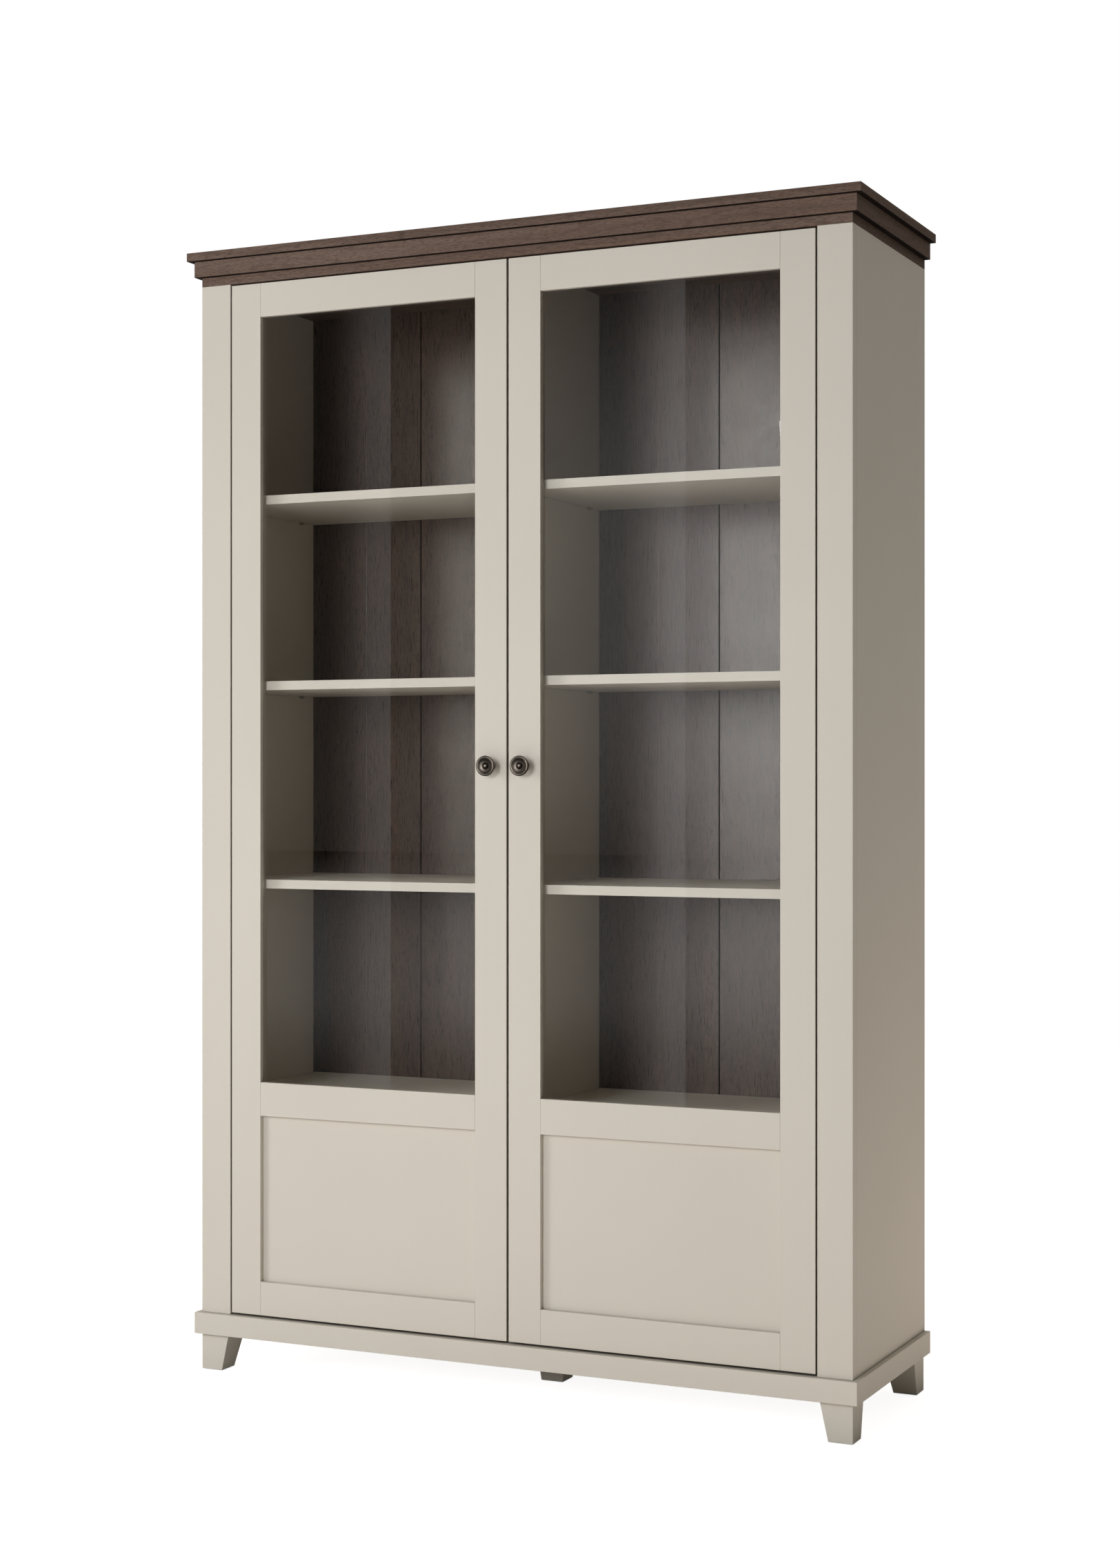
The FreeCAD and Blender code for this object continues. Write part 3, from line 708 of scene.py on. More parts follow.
@dataclass(frozen=True)
class AntiqueBronze(Finish):
    """Antique bronze: a turned zinc knob, plated, darkened and relieved by hand.

    It gives the eye bright worn crests over hollows that stay near black brown.
    """

    name: str = "antique_bronze"
    crest: str = "#7E756A"
    hollow: str = "#2A231E"
    roughness: Span = (0.52, 0.4)
    reach: float = 6 * MM
    stain: float = 2.2 * MM
    stain_share: float = 0.16
    wear: Span = (0.86, 1.09)

    def skin(self, tree: Tree) -> dict[str, Any]:
        """Brightens and smooths the metal where the form stands free.

        Args:
            tree: the material's node tree.

        Returns:
            The inputs by name.
        """
        openness = add_node(tree, OCCLUSION, {"Distance": self.reach}, "AO", samples=8)
        stain = speckle(tree, self.stain, 3.0)
        worn = add_node(tree, MATH, (stain, self.stain_share, openness), operation="MULTIPLY_ADD")
        share = add_node(tree, RAMP, (worn, *self.wear, *FULL), **SMOOTH)
        return {
            "Base Color": layered(tree, self.hollow, (self.crest, worn, self.wear, FULL)),
            "Metallic": 1.0,
            "Roughness": add_node(tree, RAMP, (share, *FULL, *self.roughness), **SMOOTH),
        }


@dataclass(frozen=True)
class PlatedSteel(Finish):
    """Nickel plated steel, stamped and barrel polished.

    It gives the eye a neutral mirror that small dents and rolling marks soften.
    """

    name: str = "plated_steel"
    body: str = "#C9C6C0"
    dull: str = "#A9A59E"
    roughness: Span = (0.3, 0.45)
    marks: Triple = (1.5 * MM, 1.5 * MM, 9 * MM)
    dulled: Span = (0.35, 0.7)

    def skin(self, tree: Tree) -> dict[str, Any]:
        """Dulls, roughens and dents the metal along its rolling marks.

        Args:
            tree: the material's node tree.

        Returns:
            The inputs by name.
        """
        marks = speckle(tree, self.marks, 3.0)
        share = add_node(tree, RAMP, (marks, *self.dulled, *FULL), **SMOOTH)
        return {
            "Base Color": layered(tree, self.body, (self.dull, marks, self.dulled, FULL)),
            "Metallic": 1.0,
            "Roughness": add_node(tree, RAMP, (share, *FULL, *self.roughness), **SMOOTH),
            "Normal": add_node(tree, BUMP, {"Strength": 0.08, "Distance": 0.1 * MM, "Height": marks}),
        }


@dataclass(frozen=True)
class Beech(Finish):
    """Beech, turned to dowels.

    It gives the eye a pale pinkish brown with short darker rays.
    """

    name: str = "beech"
    body: str = "#D8B48A"
    ray: str = "#B98E62"
    roughness: Span = (0.55, 0.7)
    rays: Triple = (0.8 * MM, 0.8 * MM, 4 * MM)

    def skin(self, tree: Tree) -> dict[str, Any]:
        """Draws the rays over the body colour.

        Args:
            tree: the material's node tree.

        Returns:
            The inputs by name.
        """
        rays = speckle(tree, self.rays, 2.0)
        return {
            "Base Color": layered(tree, self.body, (self.ray, rays, (0.5, 0.7), FULL)),
            "Roughness": add_node(tree, RAMP, (rays, *MOST, *self.roughness), **SMOOTH),
        }


@dataclass(frozen=True)
class MouldedPlastic(Finish):
    """Polyethylene, moulded, for the glides.

    It gives the eye a near black with a fine matt spark texture.
    """

    name: str = "black_plastic"
    body: str = "#1E1D1C"
    roughness: Span = (0.45, 0.65)
    grit: float = 0.9 * MM  # spark texture is finer; drawn to show

    def skin(self, tree: Tree) -> dict[str, Any]:
        """Grains the face with spark texture.

        Args:
            tree: the material's node tree.

        Returns:
            The inputs by name.
        """
        grit = speckle(tree, self.grit, 2.0)
        return {
            "Base Color": linear(self.body),
            "Roughness": add_node(tree, RAMP, (grit, *MOST, *self.roughness), **SMOOTH),
            "Normal": add_node(tree, BUMP, {"Strength": 0.3, "Distance": 0.1 * MM, "Height": grit}),
        }


@dataclass(frozen=True)
class ClearPolyurethane(Finish):
    """Clear polyurethane, cast in drops, for the door bumpers.

    It gives the eye a milky see-through dot with one soft highlight.
    """

    name: str = "clear_plastic"
    body: str = "#EDEDE8"
    roughness: Span = (0.12, 0.25)
    haze: float = 1.2 * MM

    def skin(self, tree: Tree) -> dict[str, Any]:
        """Clouds the clear drop.

        Args:
            tree: the material's node tree.

        Returns:
            The inputs by name.
        """
        haze = speckle(tree, self.haze, 1.0)
        return {
            "Base Color": linear(self.body),
            "Roughness": add_node(tree, RAMP, (haze, *MOST, *self.roughness), **SMOOTH),
            "IOR": 1.5,
            "Transmission Weight": 0.8,
        }


@dataclass
class Finishes:
    """Every finish of the cabinet, made once and in this order."""

    lacquer: Material = field(default_factory=Lacquer().material)
    oak_along: Material = field(
        default_factory=OakDecor("dark_oak_along_the_width", Grain.WIDTH).material
    )
    oak_deep: Material = field(
        default_factory=OakDecor("dark_oak_along_the_depth", Grain.DEPTH, 0.05).material
    )
    # painted shade: a darker copy of the oak for the cornice board
    oak_cornice_painted_shade: Material = field(default_factory=OakDecor(
        "dark_oak_edge_band", Grain.WIDTH, 0.1, "#625045", "#726054", "#705949", "#46382F"
    ).material)
    # painted shade: a darker copy of the oak for the back panels inside the case
    upright_oak_painted_shade: Material = field(default_factory=OakDecor(
        "dark_oak_upright", Grain.HEIGHT, 0.46, "#47372E", "#504035", "#564133", "#2C221B", (0.27, 0.37),
        (1.6 * MM, 26 * MM), 0.8,
    ).material)
    # painted shade: a near-black copy of the oak for the faces inside the V-grooves and under the cornice
    # steps
    oak_painted_shade: Material = field(default_factory=OakDecor(
        "dark_oak_painted_shade", Grain.HEIGHT, 0.1, "#251D18", "#2B221C", "#2B2119", "#1A1410", (0.7, 0.8)
    ).material)
    hardboard: Material = field(default_factory=Hardboard().material)
    glass: Material = field(default_factory=FloatGlass().material)
    bronze: Material = field(default_factory=AntiqueBronze().material)
    # painted light: a lighter, lit copy of the bronze for the knob's ball
    lit_ball_bronze: Material = field(
        default_factory=AntiqueBronze("lit_ball_bronze", "#B3A99B", "#6E655B").material
    )
    steel: Material = field(default_factory=PlatedSteel().material)
    beech: Material = field(default_factory=Beech().material)
    black: Material = field(default_factory=MouldedPlastic().material)
    clear: Material = field(default_factory=ClearPolyurethane().material)

    def spray(self, piece: Piece, body: str, node: str) -> None:
        """Lacquers a piece, shades it and fits it in its node's place.

        Args:
            piece: the piece.
            body: the frame's body that it rides on.
            node: the frame's node that it stands for.
        """
        piece.dress(self.lacquer)
        piece.shade()
        piece.fit(body, "cashmere_lacquer", node)


# ---- boards ----------------------------------------------------------------------------------------


@dataclass
class Boards:
    """Plain lacquered boards of the case: sides, posts, partition, bottom, shelves and plinth."""

    finishes: Finishes
    arris: float = 0.8 * MM
    shelf_arris: float = 0.4 * MM
    band: float = 1.2 * MM
    band_line: float = 0.12 * MM

    def board(self, name: str, node: str) -> None:
        """Makes one board in its node's place, with eased arrises.

        Args:
            name: the board's name.
            node: the frame's node that it stands for.
        """
        piece = Piece.block(name, *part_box(node))
        with piece.edited():
            piece.soften(self.arris)
        self.finishes.spray(piece, "carcass", node)

    def banded(self, name: str, node: str) -> None:
        """Makes one shelf, with the fine joint line of its front edge band.

        Args:
            name: the shelf's name.
            node: the frame's node that it stands for.
        """
        low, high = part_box(node)
        piece = Piece.block(name, low, high)
        line = low.y + self.band
        with piece.edited():
            for step in (-self.band_line, 0.0, self.band_line):
                piece.slice(Vector((0, line + step, 0)), Vector((0, 1, 0)))
            for z, way in ((high.z, -1), (low.z, 1)):
                piece.pick(Element.EDGE, lambda at, run: abs(at.y - line) < NEAR and abs(at.z - z) < NEAR)
                piece.slide(Vector((0, 0, way * self.band_line)))
            piece.soften(self.shelf_arris, wanted=lambda at: abs(at.y - line) > 2.5 * self.band_line)
        self.finishes.spray(piece, "carcass", node)

    def build(self) -> None:
        """Builds every lacquered board of the carcass."""
        for side in Side:
            word = side.label
            self.board(f"{word}_side_board", f"{word}_side_panel")
            self.board(f"{word}_front_post", f"{word}_pilaster")
            for level in ("fixed", "lower", "middle", "upper"):
                self.banded(f"{word}_{level}_shelf_board", f"{word}_{level}_shelf")
            self.board(f"{word}_plinth_board", f"plinth_{word}_rail")
        self.board("partition_board", "centre_partition")
        self.board("case_bottom_board", "bottom_panel")
        for place in ("front", "back", "centre"):
            self.board(f"{place}_plinth_board", f"plinth_{place}_rail")


@dataclass
class Cornice:
    """The dark oak boards over the case: top panel, frieze and cornice, each stepping out.

    The grain runs along each visible edge. The undersides of the frieze and cornice steps get painted shade
    in a near-black oak, and the cornice board gets a darker copy of the oak as painted shade.
    """

    finishes: Finishes
    arris: float = 0.5 * MM
    slant: float = 0.7

    def build(self) -> None:
        """Builds the three boards."""
        # the cornice board takes the darker copy of the oak, as painted shade
        for name, node, front in (
            ("top_board", "top_panel", self.finishes.oak_along),
            ("frieze_moulding", "frieze_board", self.finishes.oak_along),
            ("cornice_moulding", "cornice_board", self.finishes.oak_cornice_painted_shade),
        ):
            piece = Piece.block(name, *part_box(node))
            with piece.edited():
                piece.soften(self.arris)
            piece.dress(front)
            piece.redress(self.finishes.oak_deep, lambda at, normal: abs(normal.x) > self.slant)
            if name != "top_board":
                # painted shade on the undersides of the frieze and cornice steps
                piece.redress(self.finishes.oak_painted_shade, lambda at, normal: normal.z < -self.slant)
            piece.shade()
            piece.fit("carcass", "dark_oak_decor", node)


@dataclass
class BackPanels:
    """The panels behind the bays: a V-groove on each side of the middle plank and fine joints beyond."""

    finishes: Finishes
    pitch: float = 118 * MM
    vee: Span = (3 * MM, 2.6 * MM)
    joint: Span = (1 * MM, 0.25 * MM)
    grooves: tuple[float, ...] = (-0.5, 0.5)
    joints: tuple[float, ...] = (-1.5, 1.5)

    def panel(self, side: Side) -> None:
        """Makes one back panel.

        Args:
            side: the bay that it closes.
        """
        node = f"{side.label}_back_panel"
        low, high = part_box(node)
        middle = (low.x + high.x) / 2
        piece = Piece.block(f"{side.label}_plank_panel", low, high)
        with piece.edited():
            lines = [(index, *self.vee) for index in self.grooves]
            lines += [(index, *self.joint) for index in self.joints]
            for index, width, depth in lines:
                centre = middle + index * self.pitch
                for step in (-width / 2, 0.0, width / 2):
                    piece.slice(Vector((centre + step, 0, 0)), Vector((1, 0, 0)))
                line = Vector((centre, low.y))
                piece.pick(
                    Element.EDGE, lambda at, run: (at.xy - line).length < NEAR and abs(run.z) > FACING
                )
                piece.slide(Vector((0, depth, 0)))
        # painted shade: the back panels take a darker copy of the oak than the boards outside
        piece.dress(self.finishes.upright_oak_painted_shade)
        piece.redress(self.finishes.hardboard, lambda at, normal: normal.y > FACING)
        # painted shade: the faces inside the V-grooves get the near-black oak
        deep = low.y + self.joint[1] * 2
        piece.redress(self.finishes.oak_painted_shade, lambda at, normal: normal.y < -0.1 and at.y > deep)
        piece.shade()
        piece.fit("carcass", "dark_oak_decor", node)

    def build(self) -> None:
        """Builds both panels."""
        for side in Side:
            self.panel(side)


@dataclass
class Feet:
    """Five square tapered feet; the corner ones stay plumb on their outer faces."""

    finishes: Finishes
    top: float = 56 * MM
    bottom: float = 42 * MM
    arris: float = 1.0 * MM

    def foot(self, name: str, node: str, plumb: tuple[int, int]) -> None:
        """Makes one foot.

        Args:
            name: the foot's name.
            node: the frame's node that it stands for.
            plumb: the signs along X and Y of its plumb faces, or 0 where both faces taper.
        """
        low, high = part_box(node)
        piece = Piece.block(name, low, high)
        middle = (low + high) / 2
        about = Vector((
            (low.x, middle.x, high.x)[plumb[0] + 1],
            (low.y, middle.y, high.y)[plumb[1] + 1],
            low.z,
        ))
        share = self.bottom / self.top
        with piece.edited():
            piece.pick(Element.FACE, lambda at, normal: normal.z < -FACING)
            piece.stretch((share, share, 1.0), about)
            piece.soften(self.arris)
        self.finishes.spray(piece, "carcass", node)

    def build(self) -> None:
        """Builds the five feet."""
        for side in Side:
            for end, sign in (("front", -1), ("rear", 1)):
                node = f"{end}_{side.label}_foot"
                self.foot(f"{end}_{side.label}_tapered_foot", node, (side.value, sign))
        self.foot("centre_tapered_foot", "centre_foot", (0, 0))


# ---- doors -----------------------------------------------------------------------------------------


def hinge_heights(node: str, height: float) -> list[float]:
    """The heights of the hinges' middles.

    Args:
        node: a node of the frame that has one part on every hinge.
        height: how tall that part is.

    Returns:
        The heights, from the lowest hinge up.
    """
    low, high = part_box(node)
    pitch = (high.z - low.z - height) / (HINGES - 1)
    return [low.z + height / 2 + index * pitch for index in range(HINGES)]


@dataclass
class Knob:
    """A turned knob: foot, waist, flared back, rolled rim, fine bead, dish and a small ball in a recess.

    The profile's sizes are millimetres: radii from the axis and heights over the door's face.
    """

    finishes: Finishes
    foot: float = 9.0
    foot_ease: float = 0.35
    foot_edge: float = 1.6
    neck: float = 6.0
    neck_foot: float = 5.5
    neck_top: float = 10.0
    cove: float = 5.0
    flare: float = 9.0
    rim: Triple = (14.9, 20.4, 2.6)
    rim_turn: Span = (45.0, 68.0)
    groove: Span = (13.5, 21.45)
    bead: Triple = (12.75, 22.0, 0.62)
    bead_bulge: float = 1.05
    dish: Span = (6.3, 19.9)
    dish_hollow: float = 13.0
    recess: Span = (5.3, 17.6)
    recess_roll: float = 0.9
    recess_lip: Span = (0.3, 0.6)
    recess_foot: Span = (0.1, 0.3)
    ball: float = 3.8
    tip: float = 0.05
    height: float = 24.0
    corners: int = 72
    smooth: float = 50.0

    @staticmethod
    def arc(start: Span, end: Span, radius: float, steps: int) -> list[Span]:
        """Points along an arc of the turned profile, without its start.

        Args:
            start: radius and height where it starts.
            end: radius and height where it ends.
            radius: the arc's radius, positive where it bulges to the right of its run.
            steps: how many points it gets.

        Returns:
            The points.
        """
        a, b = Vector(start), Vector(end)
        chord = b - a
        side = Vector((chord.y, -chord.x)).normalized() * (1 if radius > 0 else -1)
        size = abs(radius)
        off = sqrt(max(size * size - chord.length_squared / 4, 0.0))
        centre = (a + b) / 2 - side * off
        half = acos(max(-1.0, min(1.0, off / size)))
        points = []
        for step in range(1, steps + 1):
            turn = -half + 2 * half * step / steps
            along = chord.normalized() * (sin(turn) * size)
            points.append(tuple(centre + side * (cos(turn) * size) + along))
        return points

    def profile(self) -> list[Span]:
        """The turned profile, from the door's face to the ball's top.

        Returns:
            The profile's points, each a radius and a height.
        """
        rim_x, rim_y, rim_r = self.rim
        back, front = (radians(turn) for turn in self.rim_turn)
        flare_end = (rim_x + rim_r * cos(back), rim_y - rim_r * sin(back))
        rim_end = (rim_x - rim_r * cos(front), rim_y + rim_r * sin(front))
        bead_x, bead_y, bead_r = self.bead
        wall, floor = self.recess
        ball_foot = sqrt(self.ball ** 2 - (self.height - floor - self.ball) ** 2)
        points = [(self.foot - self.foot_ease, 0.0), (self.foot, self.foot_ease)]
        points += [(self.foot, self.foot_edge)]
        points += self.arc(points[-1], (self.neck, self.neck_foot), -self.cove, 6)
        points += [(self.neck, self.neck_top)]
        points += self.arc(points[-1], flare_end, -self.flare, 9)
        points += self.arc(flare_end, rim_end, rim_r, 14)
        points += [self.groove]
        points += self.arc(self.groove, (bead_x - bead_r, bead_y), bead_r * self.bead_bulge, 5)
        points += self.arc(points[-1], self.dish, -self.dish_hollow, 9)
        lip, drop = self.recess_lip
        points += self.arc(points[-1], (wall + lip, self.dish[1] - drop), self.recess_roll, 4)
        points += [(wall + self.recess_foot[0], floor + self.recess_foot[1])]
        points += [(wall, floor), (ball_foot, floor)]
        points += self.arc(points[-1], (self.tip, self.height - 0.001), self.ball, 10)
        return points

    def build(self, side: Side, body: str) -> None:
        """Turns one knob on its door.

        Args:
            side: the door.
            body: the door's body.
        """
        node = f"{side.label}_knob"
        low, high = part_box(node)
        axis = Vector(((low.x + high.x) / 2, high.y, (low.z + high.z) / 2))
        points = self.profile()
        name = f"{side.label}_turned_knob"
        piece = Piece.disc(name, axis, points[0][0] * MM, self.corners, Vector((pi / 2, 0, 0)))
        with piece.edited():
            piece.pick_all()
            for (old, before), (new, after) in zip(points, points[1:]):
                piece.taper(-(after - before) * MM, new / old, axis + Vector((0, -after * MM, 0)))
            bpy.ops.mesh.merge(type="CENTER")
            piece.turn_out()
        piece.dress(self.finishes.bronze)
        # painted light: the ball gets the lighter copy of the bronze
        floor = axis.y - self.recess[1] * MM
        piece.redress(
            self.finishes.lit_ball_bronze,
            lambda at, normal: at.y < floor and (at.xz - axis.xz).length < self.ball * MM,
        )
        piece.shade(self.smooth)
        piece.fit(body, "antique_bronze", node)


@dataclass
class Door:
    """One framed door: two stiles, three rails, a pane with its beads, a solid panel and a knob."""

    finishes: Finishes
    side: Side
    lip: float = 9.5 * MM
    rebate: float = 9 * MM
    bead: float = 8 * MM
    arris: float = 0.7 * MM
    glass_arris: float = 0.4 * MM
    bead_round: float = 3 * MM
    cup_radius: float = 17.6 * MM
    cup_depth: float = 13.5 * MM
    drill_stand: float = 2 * MM

    @property
    def body(self) -> str:
        """The frame's body of this door."""
        return f"{self.side.label}_door"

    def node(self, part: str) -> str:
        """The frame's name of one of this door's nodes."""
        return f"{self.side.label}_door_{part}"

    def finish(self, piece: Piece, part: str) -> None:
        """Eases, lacquers and fits one wooden part of the door.

        Args:
            piece: the part's piece.
            part: the end of its node's name.
        """
        with piece.edited():
            piece.clean()
            piece.soften(self.arris)
        self.finishes.spray(piece, self.body, self.node(part))

    def stile(self, part: str, inward: int) -> None:
        """Makes one stile with the rebate along its inner edge.

        Args:
            part: the end of its node's name.
            inward: the sign along X of its edge at the opening.
        """
        low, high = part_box(self.node(part))
        step = low.y + self.lip
        piece = Piece.block(self.node(part) + "_bar", low, Vector((high.x, step, high.z)))
        seat = (high.x - self.rebate) if inward > 0 else (low.x + self.rebate)
        with piece.edited():
            piece.slice(Vector((seat, 0, 0)), Vector((1, 0, 0)))
            piece.pick(Element.FACE, lambda at, normal: normal.y > FACING and (seat - at.x) * inward > 0)
            piece.grow(Vector((0, high.y - step, 0)))
        self.finish(piece, part)
        if part == "hinge_stile":
            self.bore_cups(piece)

    def bore_cups(self, stile: Piece) -> None:
        """Bores the pockets for the hinge cups, which the cups' own boxes place.

        Args:
            stile: the hinge stile.
        """
        cups = f"{self.side.label}_hinge_cups"
        low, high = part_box(cups)
        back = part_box(self.node("hinge_stile"))[1].y
        middle = back + self.drill_stand / 2 - self.cup_depth / 2
        for index, height in enumerate(hinge_heights(cups, CUP_HEIGHT)):
            stile.bore(Piece.start(
                f"drill_{index}", bpy.ops.mesh.primitive_cylinder_add, vertices=48, radius=self.cup_radius,
                depth=self.cup_depth + self.drill_stand, location=((low.x + high.x) / 2, middle, height),
                rotation=(pi / 2, 0, 0),
            ))
        stile.shade()

    def rail(self, part: str, open_below: bool, open_above: bool) -> None:
        """Makes one rail, its tongues and the rebates along its edges.

        Args:
            part: the end of its node's name.
            open_below: whether glass or a panel sits under it.
            open_above: whether glass or a panel sits over it.
        """
        low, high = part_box(self.node(part))
        left, right = low.x + self.rebate, high.x - self.rebate
        bottom = low.z + self.rebate * open_below
        top = high.z - self.rebate * open_above
        step = low.y + self.lip
        name = self.node(part) + "_bar"
        front = Piece.block(name, Vector((left, low.y, low.z)), Vector((right, step, high.z)))
        with front.edited():
            for z, wanted in ((bottom, open_below), (top, open_above)):
                if wanted:
                    front.slice(Vector((0, 0, z)), Vector((0, 0, 1)))
            front.pick(Element.FACE, lambda at, normal: normal.y > FACING and bottom < at.z < top)
            front.grow(Vector((0, high.y - step, 0)))
            for x, sign in ((left, -1), (right, 1)):
                front.pick(
                    Element.FACE,
                    lambda at, normal: normal.x * sign > FACING and at.y > step and abs(at.x - x) < NEAR,
                )
                front.grow(Vector((sign * self.rebate, 0, 0)))
        self.finish(front, part)

    def pane(self) -> None:
        """Makes the pane, with ground arrises."""
        node = self.node("glass")
        piece = Piece.block(self.node("pane"), *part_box(node))
        with piece.edited():
            piece.soften(self.glass_arris, 1)
        piece.dress(self.finishes.glass)
        piece.fit(self.body, "clear_glass", node)

    def panel(self) -> None:
        """Makes the solid panel in the lower opening."""
        node = self.node("lower_panel")
        piece = Piece.block(self.node("infill_panel"), *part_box(node))
        with piece.edited():
            piece.soften(self.arris)
        self.finishes.spray(piece, self.body, node)

    def beads(self) -> None:
        """Makes the glazing beads as one mitred frame with a rounded inner edge."""
        node = self.node("glazing_beads")
        low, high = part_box(node)
        piece = Piece.block(self.node("mitred_beads"), low, high)
        middle, reach = (low + high) / 2, (high - low) / 2

        def at_back_edge(at: Vector) -> bool:
            """Tells the inner edges that face the inside of the case.

            Args:
                at: the edge's middle.

            Returns:
                Whether it is one.
            """
            aside = reach.x - self.bead - abs(at.x - middle.x)
            over = reach.z - self.bead - abs(at.z - middle.z)
            return min(abs(aside), abs(over)) < NEAR and at.y > high.y - NEAR

        with piece.edited():
            piece.pick(Element.FACE, lambda at, normal: abs(normal.y) > FACING)
            bpy.ops.mesh.inset(thickness=self.bead)
            bpy.ops.mesh.bridge_edge_loops()
            piece.turn_out()
            piece.soften(self.bead_round, 5, at_back_edge)
        self.finishes.spray(piece, self.body, node)

    def build(self) -> None:
        """Builds the whole door."""
        self.stile("hinge_stile", -self.side.value)
        self.stile("lock_stile", self.side.value)
        self.rail("top_rail", True, False)
        self.rail("mid_rail", True, True)
        self.rail("bottom_rail", False, True)
        self.pane()
        self.panel()
        self.beads()
        Knob(self.finishes).build(self.side, self.body)


# ---- hardware --------------------------------------------------------------------------------------


@dataclass
class Hardware:
    """Small metal and plastic parts: those of the frame, and the screws that hold the hinges."""

    finishes: Finishes
    head: float = 3.6 * MM
    corners: int = 16
    rise: float = 0.9 * MM
    dome: tuple[Span, ...] = ((1.0, 0.45), (0.9, 0.3), (0.8, 0.15), (0.62, 0.0))
    arm: float = 0.35
    recess: float = 0.9 * MM
    recess_floor: float = 0.6
    cup_screw: float = 24 * MM
    plate_screw: float = 19 * MM
    plate_wing: float = 2 * MM
    plate_inset: float = 18 * MM

    def screw(self, name: str, at: Vector) -> Piece:
        """Makes one cross-recessed pan head that faces the inside of the case.

        Args:
            name: the screw's name.
            at: the middle of its seat.

        Returns:
            The screw.
        """
        piece = Piece.disc(name, at, self.head, self.corners, Vector((-pi / 2, 0, 0)))
        top = at.copy()
        reach = self.head
        with piece.edited():
            piece.pick_all()
            for share, rise in self.dome:
                top.y += rise * self.rise
                reach *= share
                piece.taper(rise * self.rise, share, top)

            def between_arms(place: Vector, normal: Vector) -> bool:
                """Tells the rim points of the top that become the inner corners of the recess's cross.

                Args:
                    place: the point.
                    normal: not used.

                Returns:
                    Whether it is one.
                """
                off = place - top
                near = min(abs(off.x), abs(off.z))
                return abs(off.y) < NEAR and hypot(off.x, off.z) < reach * 1.01 and near > reach * 0.5

            piece.pick(Element.POINT, between_arms)
            piece.stretch((self.arm, 1.0, self.arm), top)
            piece.pick(Element.FACE, lambda place, normal: (place - top).length < 0.1 * MM)
            piece.taper(-self.recess, self.recess_floor, top - Vector((0, self.recess, 0)))
            piece.turn_out()
        return piece

    def row(self, name: str, body: str, heights: list[float], off: float, x: float, seat: float) -> None:
        """Copies one screw to both wings of every cup or plate on one side.

        Args:
            name: the name of the joined screws.
            body: the body that they ride on.
            heights: the heights of the hinges' middles.
            off: how far the screws are above and below a hinge's middle.
            x: the screws' place along X.
            seat: the place along Y of the wings' outer face.
        """
        lowest = heights[0] - off
        first = self.screw(name, Vector((x, seat, lowest)))
        places = [height + sign * off for height in heights for sign in (-1, 1)]
        first.join([
            first.copied(f"{name}_{index}", Vector((0, 0, place - lowest)))
            for index, place in enumerate(places[1:])
        ])
        first.dress(self.finishes.steel)
        first.shade()
        first.fit(body, "plated_steel")

    def screws(self) -> None:
        """Makes the screws of the hinge cups and of the mounting plates."""
        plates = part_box("hinge_plates")
        for side, plate in zip(Side, plates):
            cups = f"{side.label}_hinge_cups"
            low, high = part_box(cups)
            heights = hinge_heights(cups, CUP_HEIGHT)
            self.row(
                f"{side.label}_cup_screws", f"{side.label}_door", heights, self.cup_screw,
                (low.x + high.x) / 2, high.y,
            )
            heights = hinge_heights("hinge_plates", PLATE_HEIGHT)
            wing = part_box(f"{side.label}_pilaster")[1].y + self.plate_wing
            self.row(
                f"{side.label}_plate_screws", "carcass", heights, self.plate_screw,
                plate.x - side.value * self.plate_inset, wing,
            )

    def dress_frame(self) -> None:
        """Gives the frame's own small parts their finishes."""
        finishes = self.finishes
        plan = {
            finishes.steel: [
                "hinge_arms", "hinge_plates", "left_hinge_cups", "right_hinge_cups", "left_hinge_pins",
                "right_hinge_pins", "left_knob_screw", "right_knob_screw", "shelf_pins", "foot_bolts",
            ],
            finishes.beech: ["carcass_dowels"],
            finishes.black: ["foot_glides"],
            finishes.clear: ["door_bumpers"],
        }
        for material, names in plan.items():
            for name in names:
                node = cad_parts[name]
                if not node.material_slots:
                    node.data.materials.append(material)
                for slot in node.material_slots:
                    slot.material = material
                log.info("%s keeps its solid, in %s", name, material.name)

    def build(self) -> None:
        """Builds the screws and dresses the rest."""
        self.screws()
        self.dress_frame()


# ---- studio ----------------------------------------------------------------------------------------


NO_BOUNCE = 0.5  # a ray's count of bounces is over this when it has bounced
ONE_PANE = 2.5  # a ray's count of glass faces is over this when it has come through more than one pane


